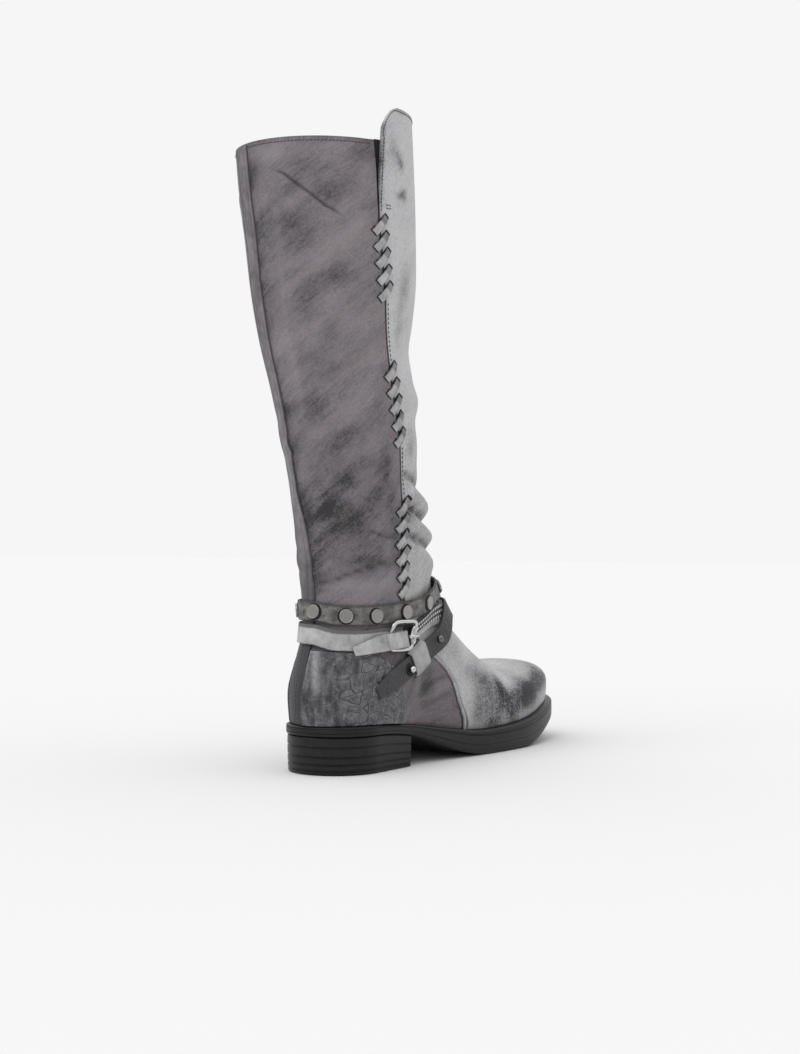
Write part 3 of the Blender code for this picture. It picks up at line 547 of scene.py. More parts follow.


# Brushed leather of shaft, front and vamp: waxed, rubbed back by hand, so pale and dark show by turns; its
# marks also carry painted shade in creases and folds and a painted highlight
def brushed_leather():
    made, tree, shader = finish("brushed_leather", 0.55)
    lay = node(tree, "Attribute", attribute_name="lay").outputs["Vector"]
    panel, dark, pale, crease_shade, plain = [node(tree, "Attribute", attribute_name=name).outputs["Fac"]
                                     for name in ("panel", "dark", "pale", "crease_shade", "plain")]
    here = node(tree, "TexCoord").outputs["Object"]
    front = node(tree, "MapRange", {"Value": panel, "From Min": -0.15, "From Max": 0.15}).outputs[0]
    # wiping strokes rising towards the front: long ones 18 by 1 mm and short ones 8 by 0.8 mm
    strokes = []
    for turn, long, wide, low, high in ((-0.60, 18.0, 0.9, 0.50, 0.76), (-0.72, 8.0, 0.8, 0.52, 0.78)):
        slant = node(tree, "Mapping", {"Vector": lay, "Rotation": (0, 0, turn), "Scale": (long, wide, 1)},
                     vector_type='TEXTURE').outputs[0]
        grain = node(tree, "TexNoise",
                     {"Vector": slant, "Scale": 1.0, "Detail": 3.0, "Roughness": 0.6}).outputs[0]
        strokes.append(node(tree, "MapRange",
                            {"Value": grain, "From Min": low, "From Max": high}).outputs[0])
    lines = node(tree, "Math", {0: strokes[0], 1: strokes[1]}, operation='MAXIMUM').outputs[0]
    # clouds of wax 34 by 13 mm along the same slant
    wide = node(tree, "Mapping", {"Vector": lay, "Rotation": (0, 0, -0.62), "Scale": (34, 13, 1)},
                vector_type='TEXTURE').outputs[0]
    cloud = node(tree, "TexNoise",
                 {"Vector": wide, "Scale": 1.0, "Detail": 6.0, "Roughness": 0.66}).outputs[0]
    patch = node(tree, "MapRange", {"Value": cloud, "From Min": 0.36, "From Max": 0.66}).outputs[0]
    # bristle marks a little over 1 mm
    bristle = node(tree, "TexNoise", {"Vector": here, "Scale": 780.0, "Detail": 3.0, "Roughness": 0.6,
                                      "Distortion": 1.2}).outputs[0]
    speck = node(tree, "MapRange", {"Value": bristle, "From Min": 0.38, "From Max": 0.62}).outputs[0]
    rub = node(tree, "Math", {0: patch, 1: 0.40, 2: 0.45}, operation='MULTIPLY_ADD').outputs[0]
    sharp = node(tree, "MapRange", {"Value": front, "To Min": 0.30, "To Max": 0.56}).outputs[0]
    rub = node(tree, "Math", {0: speck, 1: sharp, 2: rub}, operation='MULTIPLY_ADD').outputs[0]
    laid = node(tree, "Math", {0: dark, 1: rub}, operation='MULTIPLY').outputs[0]
    worn = node(tree, "Math", {0: patch, 1: 0.65, 2: 0.35}, operation='MULTIPLY_ADD').outputs[0]
    lines = node(tree, "Math", {0: lines, 1: worn}, operation='MULTIPLY').outputs[0]
    bare = node(tree, "Math", {0: 1.0, 1: plain}, operation='SUBTRACT').outputs[0]
    lines = node(tree, "Math", {0: lines, 1: bare}, operation='MULTIPLY').outputs[0]
    weak = node(tree, "MapRange", {"Value": front, "To Min": 0.46, "To Max": 0.08}).outputs[0]
    depth = node(tree, "Math", {0: lines, 1: weak, 2: laid}, operation='MULTIPLY_ADD').outputs[0]
    share = node(tree, "MapRange", {"Value": front, "To Min": 0.36, "To Max": 0.14}).outputs[0]
    depth = node(tree, "Math", {0: patch, 1: share, 2: depth}, operation='MULTIPLY_ADD').outputs[0]
    fine = node(tree, "TexNoise",
                {"Vector": here, "Scale": 720.0, "Detail": 4.0, "Roughness": 0.7}).outputs[0]
    depth = node(tree, "Math", {0: fine, 1: 0.95, 2: depth}, operation='MULTIPLY_ADD').outputs[0]
    depth = node(tree, "Math", {0: depth, 1: 0.475}, operation='SUBTRACT', use_clamp=True).outputs[0]
    light = node(tree, "Mix", {0: front, 6: paint("#8a8387"), 7: paint("#c5c4c6")},
                 data_type='RGBA').outputs[2]
    deep = node(tree, "Mix", {0: front, 6: paint("#353235"), 7: paint("#242328")},
                data_type='RGBA').outputs[2]
    tone = node(tree, "Mix", {0: depth, 6: light, 7: deep}, data_type='RGBA').outputs[2]
    # painted shade: dark lines along the sharpest creases
    tone = node(tree, "Mix", {0: crease_shade, 6: tone, 7: paint("#242224")}, data_type='RGBA').outputs[2]
    # paler where wax is rubbed off, and a painted highlight on the bulge below the crease over the straps
    wipe_and_highlight = node(tree, "Math", {0: pale, 1: rub}, operation='MULTIPLY', use_clamp=True).outputs[0]
    tone = node(tree, "Mix", {0: wipe_and_highlight, 6: tone, 7: paint("#aaa4a7")}, data_type='RGBA').outputs[2]
    # dark gap of the seam, about 1 mm
    near = node(tree, "Math", {0: panel}, operation='ABSOLUTE').outputs[0]
    gap = node(tree, "MapRange",
               {"Value": near, "From Min": 0.55, "From Max": 1.15, "To Min": 0.9, "To Max": 0.0})
    tone = node(tree, "Mix", {0: gap.outputs[0], 6: tone, 7: paint("#141315")},
                data_type='RGBA').outputs[2]
    tree.links.new(tone, shader.inputs["Base Color"])
    gloss = node(tree, "MapRange", {"Value": depth, "To Min": 0.60, "To Max": 0.44}).outputs[0]
    tree.links.new(gloss, shader.inputs["Roughness"])
    # leather grain about 1 mm, drawn a little coarse so that it shows
    rough = node(tree, "Bump", {"Strength": 0.4, "Distance": 0.0004, "Height": fine}).outputs[0]
    rough = node(tree, "Bump",
                 {"Strength": 0.3, "Distance": 0.0006, "Height": bristle, "Normal": rough}).outputs[0]
    wave = node(tree, "TexNoise", {"Vector": wide, "Scale": 2.0, "Detail": 3.0}).outputs[0]
    rough = node(tree, "Bump",
                 {"Strength": 0.35, "Distance": 0.0015, "Height": wave, "Normal": rough}).outputs[0]
    tree.links.new(rough, shader.inputs["Normal"])
    shader.inputs["Specular IOR Level"].default_value = 0.25
    return made


# Textile lining: soft knit, dull
def lining_textile():
    made, tree, shader = finish("lining_textile", 0.9)
    here = node(tree, "TexCoord").outputs["Object"]
    knit = node(tree, "TexNoise", {"Vector": here, "Scale": 800.0, "Detail": 2.0}).outputs[0]
    tone = node(tree, "Mix", {0: knit, 6: paint("#5c585a"), 7: paint("#8d898a")},
                data_type='RGBA').outputs[2]
    tree.links.new(tone, shader.inputs["Base Color"])
    rough = node(tree, "Bump", {"Strength": 0.5, "Distance": 0.0005, "Height": knit}).outputs[0]
    tree.links.new(rough, shader.inputs["Normal"])
    return made


BRUSHED = brushed_leather()
LINING = lining_textile()

# Upper: one wall from sole to rim, cut along the whip seam so that the slit opens at the top
HALF = 40
RING_SPANS = ((0.0, 0.12, 30), (0.12, 0.80, 68), (0.80, 0.94, 42), (0.94, 1.0, 12))
SEAM_SHARE = 103.0 / 360.0
FRONT_SPANS = ((0.0, 60.0, 20), (60.0, 84.0, 12), (84.0, 103.0, 20))
BACK_SPANS = ((103.0, 113.0, 8), (113.0, 190.0, 74), (190.0, 240.0, 24), (240.0, 360.0, 34))


def shares(spans):
    turns = [np.linspace(lo, hi, n, endpoint=False) for lo, hi, n in spans]
    return np.concatenate(turns + [np.array((spans[-1][1],))]) / 360.0


def seam_sides(z):
    seam = read(BOUND, "z", "angle", np.maximum(z, 105.0))
    spread = np.clip((z - SLIT_FOOT) / (RIM - SLIT_FOOT), 0.0, 1.5)
    return seam - 5.2 * spread ** 1.25, seam + 2.4 * np.minimum(spread, 1.0) ** 1.5


front_share = shares(FRONT_SPANS)
back_share = shares(BACK_SPANS)
share = np.concatenate((front_share, back_share))
in_front = np.arange(len(share)) < len(front_share)


def turn_at(z):
    fore, aft = seam_sides(z)
    near = fore * share / SEAM_SHARE
    far = aft + (360.0 - aft) * (share - SEAM_SHARE) / (1 - SEAM_SHARE)
    return np.where(in_front, near, far)


joint = section_points(JOIN, HALF)
lean = np.sin(np.pi * share) ** 1.5
top_front = joint[HALF, 2]
waist = top_front + 8.0 * lean
aim = np.abs(angle_of(joint))
leg_rows = []
for j in range(HALF + 1):
    left, right = aim[j], aim[2 * HALF - j]
    angle = left + (360.0 - left - right) * share
    if j == 0:
        row = feather_points(angle)
    else:
        rise = (joint[j, 2] - joint[0, 2]) / (top_front - joint[0, 2])
        part = rise * (1 - lean) + (j / HALF) * lean
        row = leg_points(angle, leg_rows[0][:, 2] + part * (waist - leg_rows[0][:, 2]))
    row[0] = joint[j]
    row[-1] = joint[2 * HALF - j]
    leg_rows.append(row)
rim = rim_height(turn_at(np.full(share.shape, RIM + 4.0)))
level = waist + 360.0 * shares(RING_SPANS)[1:, None] * (rim - waist)
rings = leg_points(turn_at(level), level)
rings[:, -1] = rings[:, 0]
leg_base = np.concatenate((np.stack(leg_rows), rings))
body_end = UPPER_TIP - 34.0
plain_run = JOIN + (body_end - JOIN) * np.linspace(0, 1, 47)[1:]
toe_run = body_end + (UPPER_TIP - body_end) * np.sin(np.linspace(0, 0.5 * np.pi, 20))[1:-1]
vamp_base = np.stack([joint] + [section_points(a, HALF) for a in np.concatenate((plain_run, toe_run))]
                     + [np.tile((UPPER_TIP, 2.0, float(sole_top(UPPER_TIP)) + GAP), (2 * HALF + 1, 1))])

# Back strip: outer edge and width by height
STRIP = table("z edge wide", (
    (29, 187.0, 15.0), (60, 183.5, 15.0), (76, 182.5, 15.0), (100, 182.0, 15.0), (118, 183.0, 15.0),
    (153, 190.5, 15.0), (175, 198.0, 15.0), (222, 199.5, 15.0), (309, 198.5, 15.0), (385, 200.5, 15.0)))


# The strip stands out a little under the straps
def strip_swell(z):
    return 0.85 * (smooth(z, 64.0, 76.0) - smooth(z, 96.0, 112.0))


def strip_girth(z):
    return np.degrees(read(STRIP, "z", "wide", z) / read(LEG, "z", "inner", z))


# Darker marks on the shaft, mostly dark wax, with painted shade above the crease over the straps and in the
# troughs of the front folds: angle, height, half width, half height, strength
SHAFT_DARK = (
    (170.7, 332, 13, 11, 0.55), (162, 352, 8, 8, 0.25), (148, 353, 9, 9, 0.45),
    (157, 368, 10, 6, 0.35), (166, 290, 12, 10, 0.40), (146, 303, 10, 8, 0.25),
    (148, 270, 12, 10, 0.30), (152, 250, 13, 8, 0.40), (166, 222, 13, 8, 0.45),
    (149, 206, 12, 8, 0.40), (149.4, 179, 10, 6, 0.50), (128, 190, 10, 8, 0.35),
    (169, 164, 10, 8, 0.75), (158, 150, 14, 8, 0.40), (150, 129, 18, 4, 0.40), (180, 124, 8, 14, 0.55),
    (112, 165, 6, 40, 0.35), (118, 376, 14, 8, 0.35), (190, 372, 6, 12, 0.45), (178, 150, 9, 22, 0.35),
    (140, 160, 22, 14, 0.25), (160, 196, 16, 10, 0.20), (190, 200, 8, 30, 0.25),
    (112, 362, 5, 22, 0.25), (95, 381, 4, 7, 0.30), (89.5, 378, 3, 4, 0.40), (87.5, 373, 3, 4, 0.45),
    (85, 355, 4, 4, 0.60), (91, 354, 4, 3, 0.35), (82, 300, 5, 12, 0.30), (88, 290, 4, 14, 0.25),
    (86, 268, 6, 10, 0.22), (76, 205, 6, 12, 0.20), (84, 156, 8, 4, 0.25), (80, 139, 8, 4, 0.25))
# Paler marks where wax is rubbed off, and a painted highlight on the bulge below the crease over the straps
SHAFT_PALE = (
    (183, 300, 4, 24, 0.22), (150, 114, 22, 5, 0.35), (122, 118, 12, 8, 0.20),
    (127, 335, 10, 10, 0.22), (177, 375, 6, 8, 0.30), (181, 245, 4, 20, 0.22),
    (130, 270, 14, 14, 0.18), (186, 340, 4, 12, 0.22), (140, 318, 12, 8, 0.18),
    (128, 236, 10, 10, 0.18), (160, 262, 8, 8, 0.15))
# Burnished darkening of the vamp and toe, the same on both sides; the marks from 168 to 179 along the flex
# crease are partly burnished and partly painted shade:
# distance from the heel back, height, half length, half height, strength
TOE_DARK = (
    (168, 45, 4, 6, 0.45), (171, 39, 4.5, 6, 0.70), (175, 32, 6, 6, 0.95), (179, 24, 5, 6, 0.65),
    (186, 18, 5, 4, 0.30), (192, 36, 9, 6, 0.60), (209, 38, 11, 6, 0.90), (227, 41, 9, 6, 0.90),
    (239, 45, 8, 7, 0.70), (200, 30, 10, 5, 0.40), (255, 44, 11, 8, 0.45), (271, 42, 8, 8, 0.40),
    (160, 20, 9, 4, 0.45), (144, 36, 8, 9, 0.20), (154, 28, 10, 8, 0.35), (139, 26, 7, 7, 0.14),
    (157, 41, 9, 8, 0.35), (153, 49, 10, 6, 0.28), (137, 55, 9, 6, 0.22), (125, 70, 9, 8, 0.10),
    (186, 27, 9, 6, 0.50), (166, 30, 7, 9, 0.30), (215, 31, 14, 5, 0.35), (198, 45, 9, 5, 0.10),
    (181, 37, 6, 4, 0.50))


def spots(across, up, marks):
    value = np.zeros(across.shape)
    for middle, height, wide, tall, strength in marks:
        value += strength * np.exp(-((across - middle) / wide) ** 2 - ((up - height) / tall) ** 2)
    return value


# The same marks round the leg, where half widths are millimetres
def leg_spots(turn, z, marks):
    girth = np.degrees(1 / LEG_REACH)
    return spots(turn, z, [(angle, height, wide * girth, tall, strength)
                           for angle, height, wide, tall, strength in marks])


# Painted shade: thin dark lines in the sharpest creases: which crease, shift, half width, strength
CREASE_SHADE_LINES = (
    (0, 0.0, 0.8, 0.60), (1, 0.0, 1.2, 0.15), (2, 0.3, 1.7, 0.50), (4, 0.0, 1.2, 0.40),
    (3, 0.0, 1.8, 0.15))


def brush_marks(piece, points, r, c):
    p = points[r, c]
    angle = angle_of(p)
    turn = np.abs(angle)
    round_turn = np.mod(angle, 360.0)
    z = p[:, 2]
    vamp = panel_of(p, angle)
    lower = smooth(-z, -98.0, -90.0) * (vamp > -0.5)
    dark = leg_spots(turn, z, SHAFT_DARK) + 0.20 * smooth(-z, -235.0, -170.0)
    crease_shade = 0 * z
    for index, shift, half, strength in CREASE_SHADE_LINES:
        off, run = beside(turn, z, CREASES[index][0])
        ends = smooth(run, 0.0, 0.1) * (1 - smooth(run, 0.7, 1.0))
        crease_shade += strength * bump(off, shift, half) * ends * (angle > 0)
    # darker along both edges of the back strip and along the tab's edge at the slit; painted shade in the
    # troughs of the front folds
    edge = read(STRIP, "z", "edge", z)
    for gap in (edge - round_turn, round_turn - edge - strip_girth(z)):
        away = np.radians(gap) * 45.0
        dark += 0.45 * bump(away, 1.0, 1.6) + 0.18 * bump(away, 4.5, 1.8)
    fore = seam_sides(z)[0]
    tab_side = smooth(z, SLIT_FOOT, SLIT_FOOT + 10.0) * (vamp > 0)
    dark += 0.40 * bump(np.radians(fore - turn) * LEG_REACH, 0.6, 1.3) * tab_side
    dark += 0.45 * bump(rim_height(round_turn) - z, 0.0, 1.4)
    near = 0.22 + 0.33 * smooth(angle, 5.0, 45.0) - 0.16 * smooth(-angle, 10.0, 60.0)
    # painted shade in each trough of the front folds
    for middle in TROUGHS:
        dark += near * bump(z, fold_line(angle, middle) + 1.0, 2.4) * (vamp > 3.0)
    # overlapping marks level off, so that the grain still shows where the toe is darkest
    toe_darkening = 1.7 * (1 - np.exp(-1.05 * spots(p[:, 0], z, TOE_DARK)))
    dark = dark * smooth(z, 104.0, 112.0) + (0.14 + toe_darkening) * lower
    quarter = (1 - smooth(z, 88.0, 100.0)) * (vamp <= 0)
    smudge = bump(np.radians(turn - 45.0) * LEG_REACH, 0.0, 6.0) * bump(z, 50.0, 13.0)
    dark += quarter * (0.40 + 0.55 * smudge)
    pale = leg_spots(turn, z, SHAFT_PALE) * smooth(z, 104.0, 110.0)
    lay_leg = np.stack((np.radians(round_turn) * LEG_REACH, z, 0 * z), -1)
    lay_foot = np.stack((p[:, 0], np.abs(p[:, 1]) * 1.3 + 400.0, 0 * z), -1)
    lay = np.where((lower > 0.5)[:, None], lay_foot, lay_leg)
    for name, values in (("panel", vamp), ("dark", dark), ("pale", pale), ("crease_shade", crease_shade),
                         ("plain", quarter)):
        piece.data.attributes.new(name, 'FLOAT', 'POINT').data.foreach_set("value", values)
    piece.data.attributes.new("lay", 'FLOAT_VECTOR', 'POINT').data.foreach_set("vector", lay.ravel())


def raised(base):
    angle = angle_of(base)
    panel = panel_of(base, angle)
    outer = np.where(angle > 0, 1.0, 0.0)
    lift = fold(angle, base[..., 2]) + outer * seam_relief(panel, base[..., 2])
    return base + normal(base, level=True) * lift[..., None]


leg_skin, r, c = sheet("leg_skin", raised(leg_base), np.zeros(leg_base.shape[:2] + (2,)))
brush_marks(leg_skin, leg_base, r, c)
slit_faces = len(front_share) - 1
corners = np.empty(len(leg_skin.data.loops), int)
leg_skin.data.loops.foreach_get("vertex_index", corners)
column = c[corners].reshape(-1, 4)
chosen = (column.min(axis=1) == slit_faces) & (column.max(axis=1) == slit_faces + 1)


def open_slit():
    bpy.ops.mesh.select_all(action='DESELECT')
    bpy.ops.object.mode_set(mode='OBJECT')
    leg_skin.data.polygons.foreach_set("select", chosen)
    bpy.ops.object.mode_set(mode='EDIT')
    bpy.ops.mesh.delete(type='FACE')


edit(leg_skin, open_slit)
# the first sections of the vamp reach up into the lowest fold
folded = vamp_base[..., 2].max(axis=1) > FOLD_FOOT
vamp_shown = vamp_base.copy()
vamp_shown[folded] = raised(vamp_base[folded])
vamp_skin, r, c = sheet("vamp_skin", vamp_shown, np.zeros(vamp_base.shape[:2] + (2,)))
brush_marks(vamp_skin, vamp_base, r, c)
face_out(leg_skin)
face_out(vamp_skin)
upper = join([leg_skin, vamp_skin], "brushed_upper")
edit(upper, weld)
# both materials are there before the wall is made, so that its inner side takes the lining
for look in (BRUSHED, LINING):
    upper.data.materials.append(look)
modify(upper, 'SOLIDIFY', thickness=WALL * MM, offset=-1.0, material_offset=1)
ease(upper, 0.5 * MM, 65)
dress(upper, None, "upper", "upper", turn=50.0)


# Crocodile-embossed leather of the heel counter: pressed tiles with dark furrows and painted highlights on
# their rims, rubbed by brush strokes, with a painted highlight streak near the back
def croc_leather():
    made, tree, shader = finish("croc_embossed_leather", 0.5)
    flat = node(tree, "UVMap").outputs[0]
    here = node(tree, "TexCoord").outputs["Object"]
    bend = node(tree, "TexNoise", {"Vector": flat, "Scale": 0.12, "Detail": 1.0}).outputs[1]
    moved = node(tree, "VectorMath", {0: bend, 1: (5.0, 5.0, 0.0), 2: flat},
                 operation='MULTIPLY_ADD').outputs[0]
    # tiles about 8 mm, plain towards the back
    tiles = node(tree, "Attribute", attribute_name="tiles").outputs["Fac"]
    tile = node(tree, "TexVoronoi", {"Vector": moved, "Scale": 0.14, "Randomness": 0.75},
                feature='DISTANCE_TO_EDGE').outputs[0]
    furrow = node(tree, "MapRange",
                  {"Value": tile, "From Min": 0.01, "From Max": 0.055, "To Min": 1.0, "To Max": 0.0})
    # upright rub marks 3 mm wide and 13 mm tall
    tall = node(tree, "Mapping", {"Vector": flat, "Scale": (3.0, 13.0, 1.0)},
                vector_type='TEXTURE').outputs[0]
    rub = node(tree, "TexNoise",
               {"Vector": tall, "Scale": 1.0, "Detail": 5.0, "Roughness": 0.65}).outputs[0]
    streak = node(tree, "MapRange", {"Value": rub, "From Min": 0.40, "From Max": 0.64}).outputs[0]
    wear = node(tree, "Attribute", attribute_name="wear").outputs["Fac"]
    streak = node(tree, "Math", {0: streak, 1: wear}, operation='MULTIPLY').outputs[0]
    fine = node(tree, "TexNoise",
                {"Vector": here, "Scale": 650.0, "Detail": 4.0, "Roughness": 0.7}).outputs[0]
    cloud = node(tree, "TexNoise",
                 {"Vector": here, "Scale": 130.0, "Detail": 5.0, "Roughness": 0.7}).outputs[0]
    cloud = node(tree, "MapRange", {"Value": cloud, "From Min": 0.38, "From Max": 0.62}).outputs[0]
    base = node(tree, "Mix", {0: cloud, 6: paint("#3e3e41"), 7: paint("#68686b")},
                data_type='RGBA').outputs[2]
    spread = node(tree, "MapRange",
                  {"Value": fine, "From Min": 0.46, "From Max": 0.62, "To Min": 0.0, "To Max": 0.28})
    base = node(tree, "Mix", {0: spread.outputs[0], 6: base, 7: paint("#aaaaac")},
                data_type='RGBA').outputs[2]
    # painted highlight on the rims of the tiles
    crest = node(tree, "MapRange",
                 {"Value": tile, "From Min": 0.04, "From Max": 0.13, "To Min": 0.6, "To Max": 0.0})
    crest = node(tree, "Math", {0: crest.outputs[0], 1: tiles}, operation='MULTIPLY').outputs[0]
    # painted highlight: a pale upright streak near the back of the counter
    painted_highlight = node(tree, "Attribute", attribute_name="painted_highlight").outputs["Fac"]
    groove = node(tree, "Math", {0: furrow.outputs[0], 1: tiles}, operation='MULTIPLY').outputs[0]
    groove = node(tree, "Math", {0: groove, 1: 0.8}, operation='MULTIPLY').outputs[0]
    layers = ((crest, "#86868a"), (streak, "#2c2c2f"), (painted_highlight, "#9c9c9e"), (groove, "#1b1b1d"))
    for share, colour in layers:
        base = node(tree, "Mix", {0: share, 6: base, 7: paint(colour)}, data_type='RGBA').outputs[2]
    tree.links.new(base, shader.inputs["Base Color"])
    swell = node(tree, "MapRange", {"Value": tile, "From Min": 0.0, "From Max": 0.22},
                 interpolation_type='SMOOTHSTEP')
    swell = node(tree, "Math", {0: swell.outputs[0], 1: tiles}, operation='MULTIPLY').outputs[0]
    rough = node(tree, "Bump", {"Strength": 0.8, "Distance": 0.0012, "Height": swell}).outputs[0]
    rough = node(tree, "Bump",
                 {"Strength": 0.4, "Distance": 0.0005, "Height": fine, "Normal": rough}).outputs[0]
    shader.inputs["Specular IOR Level"].default_value = 0.3
    tree.links.new(rough, shader.inputs["Normal"])
    return made


# Smooth strip leather, brushed like the shaft, darker along its cut edges
def edged_leather(name, light, deep, edge_colour, wide, edge=1.3, long=0.0, heel=0.0, line=0.0):
    made, tree, shader = finish(name, 0.55)
    shader.inputs["Specular IOR Level"].default_value = 0.3
    flat = node(tree, "UVMap").outputs[0]
    here = node(tree, "TexCoord").outputs["Object"]
    parts = node(tree, "SeparateXYZ", {0: flat})
    run, across = parts.outputs[0], parts.outputs[1]
    inner = node(tree, "Math", {0: wide, 1: across}, operation='SUBTRACT').outputs[0]
    nearest = node(tree, "Math", {0: across, 1: inner}, operation='MINIMUM').outputs[0]
    if long:
        rest = node(tree, "Math", {0: long, 1: run}, operation='SUBTRACT').outputs[0]
        nearest = node(tree, "Math", {0: nearest, 1: rest}, operation='MINIMUM').outputs[0]
        nearest = node(tree, "Math", {0: nearest, 1: run}, operation='MINIMUM').outputs[0]
    fray = node(tree, "TexNoise",
                {"Vector": here, "Scale": 420.0, "Detail": 4.0, "Roughness": 0.7}).outputs[0]
    ragged = node(tree, "Math", {0: fray, 1: 1.6, 2: nearest}, operation='MULTIPLY_ADD').outputs[0]
    worn = {"Value": ragged, "From Min": 0.7, "From Max": 0.7 + edge, "To Min": 0.85, "To Max": 0.0}
    rim_mask = node(tree, "MapRange", worn).outputs[0]
    cloud = node(tree, "TexNoise",
                 {"Vector": here, "Scale": 90.0, "Detail": 6.0, "Roughness": 0.66}).outputs[0]
    patch = node(tree, "MapRange", {"Value": cloud, "From Min": 0.36, "From Max": 0.66}).outputs[0]
    tone = node(tree, "Mix", {0: patch, 6: paint(light), 7: paint(deep)}, data_type='RGBA').outputs[2]
    # painted shade on the far part of each lace turn, where it bends away from the light
    if long:
        far_half_shade = node(tree, "MapRange",
                    {"Value": run, "From Min": 0.55 * long, "From Max": 0.62 * long, "To Max": 0.5})
        tone = node(tree, "Mix", {0: far_half_shade.outputs[0], 6: tone, 7: paint("#3c3a3c")},
                    data_type='RGBA').outputs[2]
    if heel:
        low = node(tree, "MapRange",
                   {"Value": run, "From Min": 40.0, "From Max": 130.0, "To Min": heel, "To Max": 0.0})
        tone = node(tree, "Mix", {0: low.outputs[0], 6: tone, 7: paint("#2f2f31")},
                    data_type='RGBA').outputs[2]
    if line:
        beyond = node(tree, "Math", {0: nearest, 1: line}, operation='SUBTRACT').outputs[0]
        beyond = node(tree, "Math", {0: beyond}, operation='ABSOLUTE').outputs[0]
        beyond = node(tree, "Math", {0: fray, 1: 1.6, 2: beyond}, operation='MULTIPLY_ADD').outputs[0]
        second = node(tree, "MapRange",
                      {"Value": beyond, "From Min": 0.8, "From Max": 1.6, "To Min": 0.55, "To Max": 0.0})
        tone = node(tree, "Mix", {0: second.outputs[0], 6: tone, 7: paint(edge_colour)},
                    data_type='RGBA').outputs[2]
    tone = node(tree, "Mix", {0: rim_mask, 6: tone, 7: paint(edge_colour)}, data_type='RGBA').outputs[2]
    tree.links.new(tone, shader.inputs["Base Color"])
    pores = node(tree, "TexNoise",
                 {"Vector": here, "Scale": 1000.0, "Detail": 3.0, "Roughness": 0.6}).outputs[0]
    bumps = node(tree, "Bump", {"Strength": 0.4, "Distance": 0.0004, "Height": pores}).outputs[0]
    tree.links.new(bumps, shader.inputs["Normal"])
    return made


# Pebbled dark leather: round pebbles about 1.5 mm, dull with a faint gloss
def pebbled_leather():
    made, tree, shader = finish("pebbled_leather", 0.48)
    here = node(tree, "TexCoord").outputs["Object"]
    pebble = node(tree, "TexVoronoi", {"Vector": here, "Scale": 650.0}, feature='SMOOTH_F1').outputs[0]
    cloud = node(tree, "TexNoise",
                 {"Vector": here, "Scale": 420.0, "Detail": 5.0, "Roughness": 0.75}).outputs[0]
    tone = node(tree, "Mix", {0: cloud, 6: paint("#121214"), 7: paint("#4c4c4f")},
                data_type='RGBA').outputs[2]
    tree.links.new(tone, shader.inputs["Base Color"])
    bumps = node(tree, "Bump", {"Strength": 0.9, "Distance": 0.0009, "Height": pebble},
                 invert=True).outputs[0]
    shader.inputs["Specular IOR Level"].default_value = 0.4
    tree.links.new(bumps, shader.inputs["Normal"])
    return made


# Brown-grey leather of the stud strap, pressed with a leafy relief
def pressed_leather():
    made, tree, shader = finish("pressed_strap_leather", 0.6)
    flat = node(tree, "UVMap").outputs[0]
    here = node(tree, "TexCoord").outputs["Object"]
    # leafy cells about 5 mm
    leaf = node(tree, "TexVoronoi", {"Vector": flat, "Scale": 0.2, "Randomness": 1.0},
                feature='SMOOTH_F1').outputs[0]
    curl = node(tree, "TexNoise",
                {"Vector": flat, "Scale": 0.3, "Detail": 3.0, "Distortion": 2.0}).outputs[0]
    mix = node(tree, "Math", {0: leaf, 1: curl}, operation='MULTIPLY').outputs[0]
    shade = node(tree, "MapRange", {"Value": mix, "From Min": 0.10, "From Max": 0.42}).outputs[0]
    tone = node(tree, "Mix", {0: shade, 6: paint("#484543"), 7: paint("#8d8986")},
                data_type='RGBA').outputs[2]
    grit = node(tree, "TexNoise", {"Vector": here, "Scale": 600.0, "Detail": 3.0}).outputs[0]
    grit = node(tree, "MapRange",
                {"Value": grit, "From Min": 0.35, "From Max": 0.7, "To Min": 0.0, "To Max": 0.35})
    tone = node(tree, "Mix", {0: grit.outputs[0], 6: tone, 7: paint("#3d3b3a")},
                data_type='RGBA').outputs[2]
    across = node(tree, "SeparateXYZ", {0: flat}).outputs[1]
    low = node(tree, "MapRange",
               {"Value": across, "From Min": 0.2, "From Max": 1.4, "To Min": 0.8, "To Max": 0.0})
    tone = node(tree, "Mix", {0: low.outputs[0], 6: tone, 7: paint("#232223")},
                data_type='RGBA').outputs[2]
    high = node(tree, "MapRange",
                {"Value": across, "From Min": 11.2, "From Max": 12.3, "To Min": 0.0, "To Max": 0.7})
    tone = node(tree, "Mix", {0: high.outputs[0], 6: tone, 7: paint("#2d2c2c")},
                data_type='RGBA').outputs[2]
    tree.links.new(tone, shader.inputs["Base Color"])
    bumps = node(tree, "Bump", {"Strength": 0.9, "Distance": 0.0014, "Height": mix}).outputs[0]
    tree.links.new(bumps, shader.inputs["Normal"])
    return made


# Woven metal thread: bright squares 3 mm apart, drawn coarse so that they show
def woven_metal():
    made, tree, shader = finish("woven_metal_thread", 0.4, 0.2)
    flat = node(tree, "UVMap").outputs[0]
    parts = node(tree, "SeparateXYZ", {0: flat})
    waves = []
    for axis in (0, 1):
        turn = node(tree, "Math", {0: parts.outputs[axis], 1: 6.2832 / 3.0},
                    operation='MULTIPLY').outputs[0]
        waves.append(node(tree, "Math", {0: turn}, operation='SINE').outputs[0])
    cross = node(tree, "Math", {0: waves[0], 1: waves[1]}, operation='MINIMUM').outputs[0]
    cell = node(tree, "MapRange", {"Value": cross, "From Min": -0.45, "From Max": 0.05}).outputs[0]
    tone = node(tree, "Mix", {0: cell, 6: paint("#0f0f10"), 7: paint("#cfcfcf")},
                data_type='RGBA').outputs[2]
    tree.links.new(tone, shader.inputs["Base Color"])
    bumps = node(tree, "Bump", {"Strength": 0.7, "Distance": 0.0005, "Height": cell}).outputs[0]
    tree.links.new(bumps, shader.inputs["Normal"])
    return made


